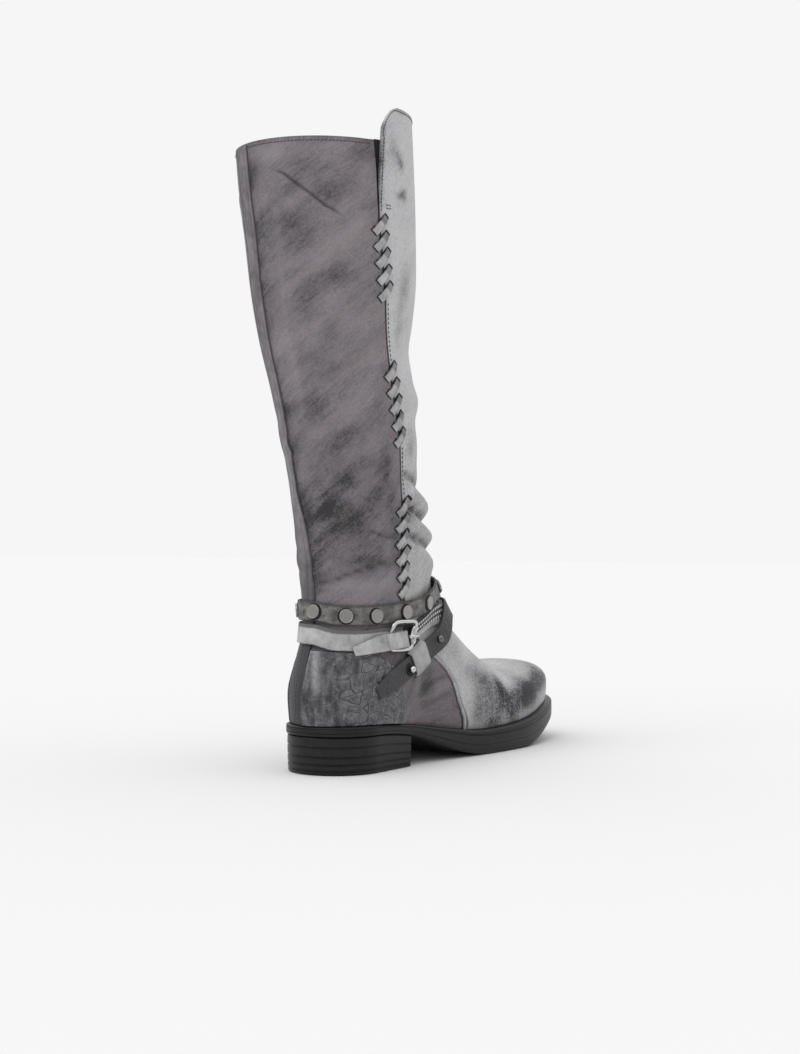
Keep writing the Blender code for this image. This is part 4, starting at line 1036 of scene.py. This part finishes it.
# Moulded rubber: nearly black, dull, faintly mottled from the mould
def moulded_rubber():
    made, tree, shader = finish("moulded_rubber", 0.38)
    shader.inputs["Specular IOR Level"].default_value = 0.25
    here = node(tree, "TexCoord").outputs["Object"]
    cloud = node(tree, "TexNoise",
                 {"Vector": here, "Scale": 240.0, "Detail": 5.0, "Roughness": 0.7}).outputs[0]
    tone = node(tree, "Mix", {0: cloud, 6: paint("#0f0f10"), 7: paint("#262628")},
                data_type='RGBA').outputs[2]
    tree.links.new(tone, shader.inputs["Base Color"])
    bumps = node(tree, "Bump", {"Strength": 0.25, "Distance": 0.0003, "Height": cloud}).outputs[0]
    tree.links.new(bumps, shader.inputs["Normal"])
    return made


# Worked metal: aged flat studs, or polished buckle parts
def worked_metal(name, light, deep, rough):
    made, tree, shader = finish(name, rough, 1.0)
    here = node(tree, "TexCoord").outputs["Object"]
    cloud = node(tree, "TexNoise",
                 {"Vector": here, "Scale": 500.0, "Detail": 5.0, "Roughness": 0.7}).outputs[0]
    tone = node(tree, "Mix", {0: cloud, 6: paint(light), 7: paint(deep)}, data_type='RGBA').outputs[2]
    tree.links.new(tone, shader.inputs["Base Color"])
    haze = node(tree, "MapRange",
                {"Value": cloud, "To Min": rough - 0.06, "To Max": rough + 0.12}).outputs[0]
    tree.links.new(haze, shader.inputs["Roughness"])
    return made


# Waxed thread, and a near-black finish for painted shade round the studs, in the buckle window and under
# the lace, also used for the dark eyelet
def plain_dark(name, light, deep, rough):
    made, tree, shader = finish(name, rough)
    here = node(tree, "TexCoord").outputs["Object"]
    cloud = node(tree, "TexNoise", {"Vector": here, "Scale": 900.0, "Detail": 2.0}).outputs[0]
    tone = node(tree, "Mix", {0: cloud, 6: paint(light), 7: paint(deep)}, data_type='RGBA').outputs[2]
    tree.links.new(tone, shader.inputs["Base Color"])
    return made


# Elastic gore: black, with upright ribs 1.2 mm apart
def ribbed_elastic():
    made, tree, shader = finish("ribbed_elastic", 0.85)
    here = node(tree, "TexCoord").outputs["Object"]
    ribs = node(tree, "TexWave", {"Vector": here, "Scale": 260.0, "Distortion": 0.4},
                bands_direction='X').outputs[0]
    tone = node(tree, "Mix", {0: ribs, 6: paint("#0c0c0d"), 7: paint("#1d1d1f")},
                data_type='RGBA').outputs[2]
    tree.links.new(tone, shader.inputs["Base Color"])
    bumps = node(tree, "Bump", {"Strength": 0.6, "Distance": 0.0006, "Height": ribs}).outputs[0]
    tree.links.new(bumps, shader.inputs["Normal"])
    return made


CROC = croc_leather()
TRIM = edged_leather("trim_leather", "#857f83", "#5d585c", "#413e42", 15.0, 1.6, heel=0.85, line=4.0)
PIPING = edged_leather("piping_leather", "#bab9bb", "#929194", "#0d0c0f", 3.4, 1.5)
LACE = edged_leather("lace_leather", "#bcbabb", "#8c898b", "#0d0c0e", 4.6, 0.7, long=14.0)
PALE = edged_leather("pale_strap_leather", "#b9b8b9", "#8b8a8c", "#4d4c4e", STRAP_TALL, 0.9)
PALE_LOOP = edged_leather("pale_loop_leather", "#b3b2b3", "#858486", "#3c3b3d", 17.0, 0.6)
PEBBLED = pebbled_leather()
PRESSED = pressed_leather()
WOVEN = woven_metal()
RUBBER = moulded_rubber()
AGED = worked_metal("aged_steel", "#aeaca9", "#85837f", 0.34)
NICKEL = worked_metal("polished_nickel", "#dcdcda", "#bdbdbc", 0.16)
SMOKED = worked_metal("smoked_nickel", "#8c8c8c", "#464646", 0.14)
THREAD = plain_dark("waxed_thread", "#323133", "#525053", 0.6)
SHADE_AND_EYELET = plain_dark("painted_shade_and_eyelet", "#0b0b0c", "#161617", 0.8)
ELASTIC = ribbed_elastic()


# Sole and heel: levels of paired outlines with closed upper and lower faces
def sole_sides(a, inward):
    end = cap(a, SOLE_TOE_START, SOLE_LENGTH, 2.0)
    heel = cap(HEEL_CENTRE - a, 0.0, HEEL_CENTRE, 2.1)
    shift = read(SOLE, "a", "shift", a)
    outer = read(SOLE, "a", "outer", a) * end * heel
    inner = read(SOLE, "a", "inner", a) * end * heel
    return shift - np.maximum(outer - inward, 0.6), shift + np.maximum(inner - inward, 0.6)


def rubber_block(name, run, profile, height):
    rows = []
    for share_down, inward in profile:
        squeeze = inward * ((run - SOLE_MIDDLE) / SOLE_MIDDLE) ** 9
        outer, inner = sole_sides(run, inward)
        z = height(run, share_down)
        left = np.stack((run - squeeze, outer, z), -1)
        right = np.stack((run - squeeze, inner, z), -1)
        rows.append((left, right))
    ring = np.stack([np.concatenate((left, right[::-1], left[:1])) for left, right in rows])
    parts = [sheet(name, ring, lengths(ring))[0]]
    for left, right in (rows[0], rows[-1]):
        mid = np.linspace(0, 1, 7)[:, None, None]
        face = left[None] * (1 - mid) + right[None] * mid
        parts.append(sheet(name + "_face", face, lengths(face))[0])
    made = join(parts, name)
    edit(made, weld, outward)
    return made


heel_round = HEEL_CENTRE * (1 - np.cos(np.linspace(0.10, 0.5 * np.pi, 18)))
waist_run = np.linspace(HEEL_CENTRE, TOE_ROUND, 48)[1:]
toe_round = TOE_ROUND + (SOLE_LENGTH - TOE_ROUND) * np.sin(np.linspace(0, 0.5 * np.pi - 0.06, 28))[1:]
SOLE_EDGE = (
    (0, 1.6), (0.03, 0.8), (0.08, 0.25), (0.15, 0.0), (0.18, 0.1), (0.20, 0.55), (0.23, 0.55),
    (0.25, 0.1), (0.28, 0.0), (0.60, 0.0), (0.62, 0.3), (0.65, 0.3), (0.67, 0.0), (0.82, 0.1),
    (0.90, 0.3), (0.96, 0.9), (1, 1.8))
HEEL_EDGE = (
    (0, 1.3), (0.03, 0.8), (0.20, 0.7), (0.24, 0.75), (0.26, 1.25), (0.28, 1.25), (0.30, 0.8),
    (0.46, 0.8), (0.50, 0.85), (0.52, 1.4), (0.54, 1.4), (0.56, 0.9), (0.66, 0.9), (0.70, 0.95),
    (0.72, 1.5), (0.74, 1.5), (0.76, 1.0), (0.84, 1.0), (0.87, 1.05), (0.89, 1.6), (0.91, 1.6),
    (0.93, 1.1), (0.97, 1.3), (1, 2.0))


def sole_height(a, share_down):
    return sole_top(a) + share_down * (read(SOLE, "a", "tread", a) - sole_top(a))


def heel_height(a, share_down):
    return (1 - share_down) * (read(SOLE, "a", "tread", a) - GAP)


outsole = rubber_block("rubber_outsole", np.concatenate((heel_round, waist_run, toe_round)), SOLE_EDGE,
                       sole_height)
dress(outsole, RUBBER, "sole", "outsole", turn=35.0)
block = rubber_block("rubber_heel",
                     np.concatenate((heel_round, np.linspace(HEEL_CENTRE, BREAST, 14)[1:])),
                     HEEL_EDGE, heel_height)
dress(block, RUBBER, "heel", "heel", turn=35.0)


# Back strip from the sole to the collar, and the two halves of the heel counter beside it
strip_z = np.linspace(30.0, RIM - 1.0, 150)
strip_turn = read(STRIP, "z", "edge", strip_z) + np.linspace(0, 1, 11)[:, None] * strip_girth(strip_z)
strip_lift = -0.2 + strip_swell(strip_z) + 0 * strip_turn
strip_shape = skin(strip_turn, strip_z + 0 * strip_turn, strip_lift)
dress(band("back_strip_leather", strip_shape, 1.0, 0.35), TRIM, "trim", "back_strip")

COUNTER = table("front_angle front_z back_z", (
    (77.0, 27.4, 29.8), (83.6, 41.0, 41.0), (92.5, 49.3, 52.0), (111.0, 63.5, 64.0),
    (128.0, 69.5, 74.5)))


def counter(name, node_name, mirrored):
    v = np.linspace(0, 1, 40)[:, None]
    u = 1 - (1 - np.linspace(0, 1, 70)[None, :]) ** (1.0 if mirrored else 1.3)
    keys = np.linspace(0, 1, len(COUNTER["front_z"]))
    front = curve(v, keys, COUNTER["front_angle"])
    front_z = curve(v, keys, COUNTER["front_z"])
    back_z = curve(v, keys, COUNTER["back_z"])
    edge = read(STRIP, "z", "edge", back_z)
    if mirrored:
        front = 360.0 - front
        edge = edge + strip_girth(back_z) + 1.0
    else:
        edge = edge - 1.0
    turn = front * (1 - u) + edge * u
    ground = feather_points(turn[0])[:, 2] + 0.4
    tall = ground + (front_z - ground[0]) * (1 - u) + (back_z - ground[-1]) * u
    tall[0] = ground
    shape = skin(turn, tall, 0.5 + 0 * tall)
    unwrap = np.stack((np.radians(turn) * 38.0, tall), -1)
    piece, r, c = sheet(name, shape, unwrap)
    worn = np.where(turn > 180.0, 360.0 - turn, turn)
    wear = 0.25 + 0.65 * smooth(worn, 142.0, 164.0) + 0 * tall
    tiles = 1.0 - 0.65 * smooth(worn, 146.0, 170.0) + 0 * tall
    # painted highlight: a pale upright streak near the back of the counter
    painted_highlight = 0.75 * bump(worn, 174.0 + 0.22 * (tall - 55.0), 2.4) * smooth(tall, 44.0, 56.0)
    for mark, values in (("wear", wear), ("tiles", tiles), ("painted_highlight", painted_highlight)):
        piece.data.attributes.new(mark, 'FLOAT', 'POINT').data.foreach_set("value", values[r, c])
    face_out(piece)
    modify(piece, 'SOLIDIFY', thickness=1.2 * MM, offset=1.0, use_even_offset=True)
    ease(piece, 0.4 * MM, 50)
    dress(piece, CROC, "counter", node_name)


counter("croc_counter_outer", "counter_outer", False)
counter("croc_counter_inner", "counter_inner", True)


# Straps laid along a path of angle, height, stand-off and width
def path(rows, count):
    t = np.linspace(0.0, 1.0, count)
    keys = np.linspace(0.0, 1.0, len(rows["angle"]))
    return [curve(t, keys, rows[name]) for name in ("angle", "z", "lift", "wide")]


def ribbon(rows, count, across, profile=lambda u: 0.0 * u):
    angle, z, lift, wide = path(rows, count)
    centre = leg_points(angle, z)
    along = np.gradient(centre, axis=0)
    side = np.cross(normal(centre), along)
    side = side / np.linalg.norm(side, axis=-1, keepdims=True)
    steps = np.linspace(-0.5, 0.5, across)
    return np.stack([reseat(centre + side * (u * wide)[:, None], lift + profile(u)) for u in steps])


# Piping where the vamp meets the outer quarter
SEAM = table("angle z lift wide", (
    (23.4, 17.4, 0.0, 3.4), (25.0, 26.0, 0.0, 3.4), (27.1, 37.0, 0.0, 3.4), (28.8, 49.0, 0.0, 3.4),
    (32.4, 59.0, 0.0, 3.4), (38.6, 66.5, 0.0, 3.4), (43.0, 69.5, 0.0, 3.4)))
piping_flat = np.stack(np.broadcast_arrays(np.linspace(0, 60, 60), np.linspace(0, 3.4, 13)[:, None]), -1)
piping = band("vamp_piping", ribbon(SEAM, 60, 13, lambda u: 0.9 * np.exp(-(u / 0.22) ** 2)), 0.35, 0.0,
              unwrap=piping_flat)
dress(piping, PIPING, "trim", "vamp_seam")

# Straps round the ankle: lower edge and stand-off by angle
HOOP = table("angle stud_z stud_off belt_z belt_off", (
    (-180, 92.3, 2.3, 77.5, 2.3), (-150, 93.0, 2.3, 79.0, 2.3), (-130, 93.5, 0.5, 79.5, 0.5),
    (-90, 95.0, 0.6, 80.0, 0.6), (-60, 98.0, 1.2, 82.0, 1.1), (-30, 102.5, 2.0, 86.0, 1.8),
    (0, 105.5, 2.5, 89.0, 1.6), (30, 103.0, 2.8, 88.0, 1.2), (57, 97.5, 3.0, 82.5, 0.9),
    (81, 94.0, 2.6, 77.5, 0.6), (111, 91.4, 1.6, 75.6, 0.5), (135, 90.0, 0.6, 75.2, 0.5),
    (151, 89.6, 0.5, 74.2, 0.5), (166, 90.0, 0.6, 74.5, 0.6), (180, 92.3, 2.3, 77.5, 2.3)))


def hoop(kind, angle, up, lift):
    p = leg_points(angle, read(HOOP, "angle", kind + "_z", angle) + up)
    return p + normal(p) * (read(HOOP, "angle", kind + "_off", angle) + lift)[..., None]


def hoop_grid(kind, angle, heights, lift):
    low = hoop(kind, angle, 0.0, lift)
    high = hoop(kind, angle, STRAP_TALL, lift)
    return np.stack([low + (high - low) * up / STRAP_TALL for up in heights])


around = np.linspace(-180.0, 180.0, 217)
heights = np.linspace(0.0, STRAP_TALL, 8)
for name, kind, look, slot, cad in (("pressed_stud_strap", "stud", PRESSED, "stud_strap", "stud_strap"),
                                    ("pale_buckle_strap", "belt", PALE, "pale_strap", "buckle_strap")):
    shape = hoop_grid(kind, around, heights, 0.0)
    shape[:, -1] = shape[:, 0]
    dress(band(name, shape, STRAP_THICK, 0.35, closed=True), look, slot, cad)


# Where a fitting sits on a strap: spot, and its outward direction
def seat(kind, angle, up, lift):
    here = hoop(kind, np.array(angle), up, lift)
    ahead = hoop(kind, np.array(angle - 2.0), up, lift)
    above = hoop(kind, np.array(angle), up + 1.0, lift)
    out = np.cross(ahead - here, above - here)
    return here, out / np.linalg.norm(out)


# Moves a fitting modelled at the origin, its axis up, to its seat
def settle(piece, spot, out):
    piece.location = ((spot - HEEL_POINT) * MM).tolist()
    piece.rotation_euler = Vector(out.tolist()).to_track_quat('Z', 'Y').to_euler()
    pick(piece)
    bpy.ops.object.transform_apply(location=True, rotation=True, scale=True)


def copy_of(piece, name):
    made = piece.copy()
    made.data = piece.data.copy()
    made.name = name
    made.data.name = name
    bpy.context.collection.objects.link(made)
    return made


# Flat stud: a turned disc with a rounded shoulder and a slightly sunk face
bpy.ops.object.select_all(action='DESELECT')
bpy.ops.mesh.primitive_cylinder_add(vertices=36, radius=4.4 * MM, depth=1.8 * MM,
                                    location=(0, 0, 0.9 * MM))
stud = bpy.context.object
bpy.ops.object.transform_apply(location=True, rotation=True, scale=True)


def pick_top():
    bpy.ops.mesh.select_all(action='DESELECT')
    bpy.ops.object.mode_set(mode='OBJECT')
    faces = bpy.context.object.data.polygons
    highest = max(face.center.z for face in faces)
    for face in faces:
        face.select = face.center.z > highest - 1e-5 and face.normal.z > 0.9
    bpy.ops.object.mode_set(mode='EDIT')


def sink_face():
    bpy.ops.mesh.inset(thickness=0.55 * MM, depth=0.0)
    bpy.ops.mesh.inset(thickness=0.2 * MM, depth=-0.15 * MM)


edit(stud, pick_top, sink_face)
ease(stud, 0.32 * MM, 60, 3)
STUD_ANGLES = (-179.5, 162.5, 141.0, 105.0, 62.0, 20.0, -20.0, -60.0, -97.0, -128.0, -155.0)
shade_beds = []
for i, angle in enumerate(STUD_ANGLES):
    bend = 0.35 if abs(angle) < 40.0 or abs(angle) > 178.0 else 0.0
    spot, out = seat("stud", angle, 0.46 * STRAP_TALL, STRAP_THICK + bend)
    made = copy_of(stud, "flat_stud_%02d" % (i + 1))
    settle(made, spot, out)
    dress(made, AGED, "stud", "stud_%02d" % (i + 1), turn=35.0)
    # painted shade: a near-black disc a little wider than each stud, for the shadow round its rim
    bpy.ops.object.select_all(action='DESELECT')
    bpy.ops.mesh.primitive_cylinder_add(vertices=36, radius=5.1 * MM, depth=0.9 * MM)
    shade_beds.append(bpy.context.object)
    settle(shade_beds[-1], spot, out)
bpy.data.objects.remove(stud, do_unlink=True)
dress(join(shade_beds, "stud_pressed_rings"), SHADE_AND_EYELET, "stud_strap", turn=35.0)

# Free end of the pale strap, over the back bar of the buckle and pointing backward
STRAP_END = table("angle z lift wide", (
    (102, 80.1, 5.3, 11.6), (111, 79.8, 5.3, 11.8), (122, 79.2, 5.3, 11.8), (132, 78.4, 4.6, 11.8),
    (140, 77.2, 3.1, 10.4), (148, 75.4, 2.4, 8.4), (155.5, 73.6, 2.4, 6.2)))
dress(band("pale_strap_end", ribbon(STRAP_END, 60, 9), 1.3, 0.35), PALE, "pale_strap", "strap_end")
KEEPER = table("angle z lift wide", (
    (103, 80.1, 6.65, 11.3), (111, 79.8, 6.65, 11.5), (121, 79.2, 6.65, 11.5), (130.5, 78.5, 6.1, 11.4)))
dress(band("pale_strap_keeper", ribbon(KEEPER, 30, 9), 0.5, 0.2), PALE, "pale_strap")
# painted shade: a near-black sheet in the buckle's window, where the strap lies in shadow behind the roller
window_grid = hoop_grid("belt", np.linspace(83.5, 103.0, 14), np.linspace(0.5, 12.3, 6), STRAP_THICK + 0.02)
dress(band("buckle_window_shade", window_grid, 0.3, 0.1), SHADE_AND_EYELET, "pale_strap")

# Woven metal strip on the front of the pale strap
weave_turn = np.linspace(4.0, 79.5, 60)
weave = band("woven_strip", hoop_grid("belt", weave_turn, np.linspace(3.6, 12.2, 6), STRAP_THICK + 0.1),
             0.8, 0.2)
dress(weave, WOVEN, "mesh", "mesh_strip")

# Dark strap crossing from the front over the outer ankle to its free end
CROSS = table("angle z lift wide", (
    (-58, 89.0, 3.4, 12.0), (-30, 93.5, 5.0, 12.6), (0, 96.5, 4.9, 12.8), (24, 94.5, 4.6, 12.8),
    (37, 79.0, 3.7, 12.8), (50, 71.5, 2.2, 12.8), (68, 65.5, 2.0, 12.8), (90, 61.5, 2.0, 12.6),
    (112, 55.5, 2.0, 11.4), (129.5, 48.6, 2.0, 7.6)))
dress(band("pebbled_cross_strap", ribbon(CROSS, 120, 9), 1.3, 0.35), PEBBLED, "dark_strap", "cross_strap")

# Pale loop over the dark strap, its edges bent down round it
LOOP = table("angle z lift wide", (
    (53, 70.5, 3.7, 16.6), (61, 67.8, 3.7, 16.6), (69, 65.4, 3.7, 16.6), (79, 63.2, 3.7, 16.4)))
loop = band("pale_loop", ribbon(LOOP, 24, 21, lambda u: -2.6 * smooth(np.abs(u), 0.36, 0.5)), 1.1, 0.3)
dress(loop, PALE_LOOP, "pale_strap", "cross_loop")


# Bent rod along points, made with a round section
def rod(name, points, radii, thick, closed):
    line = bpy.data.curves.new(name, 'CURVE')
    line.dimensions = '3D'
    line.bevel_depth = thick * MM
    line.bevel_resolution = 4
    line.use_fill_caps = not closed
    spline = line.splines.new('POLY')
    spline.points.add(len(points) - 1)
    for knot, p, r in zip(spline.points, (points - HEEL_POINT) * MM, radii):
        knot.co = (*p, 1.0)
        knot.radius = r
    spline.use_cyclic_u = closed
    drawn = bpy.data.objects.new(name, line)
    bpy.context.collection.objects.link(drawn)
    pick(drawn)
    bpy.ops.object.convert(target='MESH')
    made = bpy.context.object
    edit(made, weld, outward)
    return made


# Buckle: rounded frame bent round the ankle, a roller on its front bar, and the prong.
# Its middle and half sizes are an angle and a height
BUCKLE_TURN, BUCKLE_Z = 106.0, 82.4
BUCKLE_HALF_TURN, BUCKLE_HALF_TALL = 19.0, 9.2
turn = np.linspace(0, 2 * np.pi, 96, endpoint=False)
across = np.sign(np.cos(turn)) * np.abs(np.cos(turn)) ** 0.36
upward = np.sign(np.sin(turn)) * np.abs(np.sin(turn)) ** 0.36
frame_turn = BUCKLE_TURN - BUCKLE_HALF_TURN * across
frame_z = BUCKLE_Z + BUCKLE_HALF_TALL * upward
frame_lift = 3.5 + 1.6 * smooth(frame_z, 84.0, 90.0) + 0.6 * smooth(across, 0.5, 1.0)
buckle = rod("buckle_frame_rod", skin(frame_turn, frame_z, frame_lift), 1.0 + 0 * turn, 1.3, True)
roller_z = np.linspace(76.4, 88.0, 9)
swell = np.array((0.8, 1.0, 1.0, 1.0, 1.0, 1.0, 1.0, 1.0, 0.8))
roller = rod("buckle_roller",
             skin(88.0 + 0 * roller_z, roller_z, 4.3 + 1.2 * smooth(roller_z, 84.0, 90.0)),
             swell, 2.5, False)
dress(join([buckle, roller], "nickel_buckle"), NICKEL, "buckle", "buckle_frame", turn=50.0)
prong_turn = np.linspace(103.0, 82.0, 13)
prong_lift = 7.7 + 1.1 * np.sin(np.linspace(0, np.pi, 13))
prong = rod("nickel_prong", skin(prong_turn, 81.4 + 0 * prong_turn, prong_lift),
            np.linspace(1.0, 0.7, 13), 0.9, False)
dress(prong, NICKEL, "buckle", "buckle_prong", turn=50.0)

# Rivet and ball stud on the dark strap, the ball standing in a dark eyelet: places by angle and height
RIVET_AT = np.array((39.5, 77.2))
BALL_AT = np.array((87.0, 60.8))
bpy.ops.object.select_all(action='DESELECT')
bpy.ops.mesh.primitive_uv_sphere_add(segments=28, ring_count=16, radius=2.6 * MM)
rivet = bpy.context.object
rivet.name = "dome_rivet"
rivet.scale = (1.0, 1.0, 0.72)
spot = skin(RIVET_AT[0], RIVET_AT[1], 5.2)
settle(rivet, spot, normal(spot))
dress(rivet, SMOKED, "buckle", "rivet", turn=60.0)
bpy.ops.object.select_all(action='DESELECT')
bpy.ops.mesh.primitive_uv_sphere_add(segments=28, ring_count=16, radius=2.2 * MM,
                                     location=(0, 0, 1.9 * MM))
ball = bpy.context.object
bpy.ops.mesh.primitive_cylinder_add(vertices=24, radius=1.2 * MM, depth=1.6 * MM,
                                    location=(0, 0, 0.4 * MM))
ball = join([ball, bpy.context.object], "ball_stud_turned")
bpy.ops.object.transform_apply(location=True, rotation=True, scale=True)
spot = skin(BALL_AT[0], BALL_AT[1], 3.6)
settle(ball, spot, normal(spot))
dress(ball, NICKEL, "buckle", "ball_stud", turn=50.0)
bpy.ops.object.select_all(action='DESELECT')
bpy.ops.mesh.primitive_torus_add(major_radius=3.1 * MM, minor_radius=0.8 * MM, major_segments=36,
                                 minor_segments=12)
eyelet = bpy.context.object
bpy.ops.mesh.primitive_cylinder_add(vertices=28, radius=4.2 * MM, depth=0.9 * MM,
                                    location=(0.6 * MM, 0, -0.2 * MM))
eyelet = join([eyelet, bpy.context.object], "dark_eyelet")
bpy.ops.object.transform_apply(location=True, rotation=True, scale=True)
settle(eyelet, skin(BALL_AT[0], BALL_AT[1], 3.4), normal(spot))
dress(eyelet, SHADE_AND_EYELET, "dark_strap", turn=60.0)


# Flat lace whipped over the front panel seam, in three runs, each turn rising forward into a punched hole
def lace_turn(z, half, run, rise, lift):
    across = np.linspace(-1.0, 1.0, 7)[:, None]
    high = z + rise + 0.70 * across * half
    base = leg_points(read(BOUND, "z", "angle", high), high)
    n = normal(base, True)
    ahead = np.stack((-n[..., 1], n[..., 0], 0 * n[..., 0]), -1)
    return reseat(base + ahead * (run - 0.71 * across * half)[..., None], lift - 0.25 * across ** 2)


def whip(name, cad, bottom, top, count):
    turns = []
    shade_beds = []
    t = np.linspace(0.0, 1.0, 17)
    flat = np.stack(np.broadcast_arrays(14.0 * t, 2.3 * (np.linspace(-1.0, 1.0, 7)[:, None] + 1)), -1)
    for z in np.linspace(bottom, top, count):
        half = 2.5 - 0.7 * t
        arch = -0.7 + 2.0 * np.sin(np.pi * t) ** 0.4
        turns.append(band(name, lace_turn(z, half, 9.6 * t - 4.5, 10.2 * t - 5.0, arch), 0.9, 0.25,
                          unwrap=flat))
        # painted shadow: a near-black band under each turn, a little wider, that outlines it
        under = lace_turn(z, half + 0.55 - 0.3 * t, 11.4 * t - 5.2, 12.0 * t - 5.8, 0.36 + 0 * t)
        shade_beds.append(band(name + "_shadow_band", under, 0.12, 0.0))
    dress(join(turns, name), LACE, "trim", cad)
    dress(join(shade_beds, name + "_slots"), SHADE_AND_EYELET, "trim", turn=0.0)


# Each run of lace: its lowest and highest turn, and their number
LACE_RUNS = (("top", 294.0, 334.0, 5), ("middle", 206.0, 246.0, 5), ("bottom", 112.0, 163.0, 6))
for place, low, high, count in LACE_RUNS:
    whip("whip_lace_" + place, "lace_" + place, low, high, count)

# One stitch, modelled lying along X, then laid along every seam
bpy.ops.object.select_all(action='DESELECT')
bpy.ops.mesh.primitive_cylinder_add(vertices=6, radius=0.30, depth=1.7, rotation=(0, radians(90), 0))
stitch = bpy.context.object
bpy.ops.object.transform_apply(location=True, rotation=True, scale=True)
ease(stitch, 0.15, 70, 1)
stitch_spots = np.array([v.co for v in stitch.data.vertices])
stitch_faces = [tuple(face.vertices) for face in stitch.data.polygons]
bpy.data.objects.remove(stitch, do_unlink=True)


def stitches(angle, z, lift, pitch=3.0):
    dense = skin(angle, z, lift + 0.0 * z)
    gone = np.concatenate(((0.0,), np.cumsum(np.linalg.norm(np.diff(dense, axis=0), axis=-1))))
    stops = np.arange(0.5 * pitch, gone[-1], pitch)
    spot = np.stack([np.interp(stops, gone, dense[:, i]) for i in range(3)], -1)
    ahead = np.stack([np.interp(stops + 0.5, gone, dense[:, i]) for i in range(3)], -1)
    along = ahead - spot
    along = along / np.linalg.norm(along, axis=-1, keepdims=True)
    out = normal(spot)
    side = np.cross(out, along)
    side = side / np.linalg.norm(side, axis=-1, keepdims=True)
    out = np.cross(along, side)
    return (spot[:, None] + along[:, None] * stitch_spots[None, :, :1]
            + side[:, None] * stitch_spots[None, :, 1:2] + out[:, None] * stitch_spots[None, :, 2:])


def sew(name, rows, slot):
    laid = np.concatenate(rows)
    count = len(stitch_spots)
    faces = [tuple(v + k * count for v in face) for k in range(len(laid)) for face in stitch_faces]
    mesh = bpy.data.meshes.new(name)
    mesh.from_pydata(((laid.reshape(-1, 3) - HEEL_POINT) * MM).tolist(), [], faces)
    piece = bpy.data.objects.new(name, mesh)
    bpy.context.collection.objects.link(piece)
    dress(piece, THREAD, slot, turn=60.0)


def off_seam(z, away):
    fore, aft = seam_sides(z)
    here = leg_points(fore if away > 0 else aft, z)
    ca, cy = leg_axis(z)
    reach = np.hypot(here[:, 0] - ca, here[:, 1] - cy)
    return (fore if away > 0 else aft) - np.degrees(away / reach)


back_rim = np.linspace(115.5, 284.0, 400)
rim_rows = [stitches(back_rim, RIM - 2.6 + 0 * back_rim, 0.12, 2.3)]
# one row up the slit, round the corner of the tab and along its top
slit_z = np.linspace(342.0, 388.0, 120)
sweep = np.linspace(0.5, 0.5 * np.pi, 60)
corner_off = 1.7 + (TAB_CORNER_WIDE - 1.7) * (1 - np.cos(sweep))
corner_turn = TAB_CORNER - corner_off / 0.95
corner_z = TAB_RIM - 1.9 - (TAB_CORNER_TALL - 1.9) * (1 - np.sin(sweep))
top_turn = np.linspace(corner_turn[-1], -73.0, 300)[1:]
tab_turn = np.concatenate((off_seam(slit_z, 1.5), corner_turn, top_turn))
tab_z = np.concatenate((slit_z, corner_z, rim_height(top_turn) - 1.9))
seam_rows = [stitches(tab_turn, tab_z, 0.12, 2.3)]
for low, high in ((252.0, 288.0), (170.0, 200.0)):
    z = np.linspace(low, high, 120)
    seam_rows.append(stitches(off_seam(z, 1.9), z, 0.12, 2.8))
tack_turn = np.linspace(105.5, 100.0, 20)
for z in (346.5, 344.6):
    seam_rows.append(stitches(tack_turn, z + 0 * tack_turn, 0.12, 2.4))
sew("collar_stitches", rim_rows, "trim")
sew("seam_stitches", seam_rows, "trim")
strip_rows = []
long_z = np.linspace(32.0, 88.0, 200)
for place in (0.12, 0.24, 0.88):
    angle = read(STRIP, "z", "edge", long_z) + place * strip_girth(long_z)
    strip_rows.append(stitches(angle, long_z, 0.78 + strip_swell(long_z), 2.4))
sew("strip_stitches", strip_rows, "trim")

# Elastic gore behind the slit, up to the collar
gore_up = np.linspace(0.0, 1.0, 24)
gore_turn = np.linspace(-1.0, 1.0, 16)[:, None] * (2.5 + 5.5 * gore_up) + 110.8
gore_top = RIM - 0.8 + 2.2 * (1 - smooth(gore_turn, 109.5, 113.5))
gore_base = leg_points(gore_turn, 338.0 + gore_up * (gore_top - 338.0))
gore = band("elastic_gore", gore_base - normal(gore_base) * (WALL + 1.3), 0.9, 0.2)
dress(gore, ELASTIC, "gore", "gore")

# The insole's solid already has the right shape
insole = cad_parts["insole"]
insole.data.materials.clear()
insole.data.materials.append(LINING)

# Floor
bpy.ops.object.select_all(action='DESELECT')
bpy.ops.mesh.primitive_plane_add(size=12.0, location=(0, 0, -0.0002))
floor = bpy.context.object
floor.name = "floor"
PAPER, tree, shader = finish("matt_paper", 0.9)
shader.inputs["Base Color"].default_value = (0.785, 0.785, 0.785, 1.0)
shader.inputs["Specular IOR Level"].default_value = 0.0
floor.data.materials.append(PAPER)
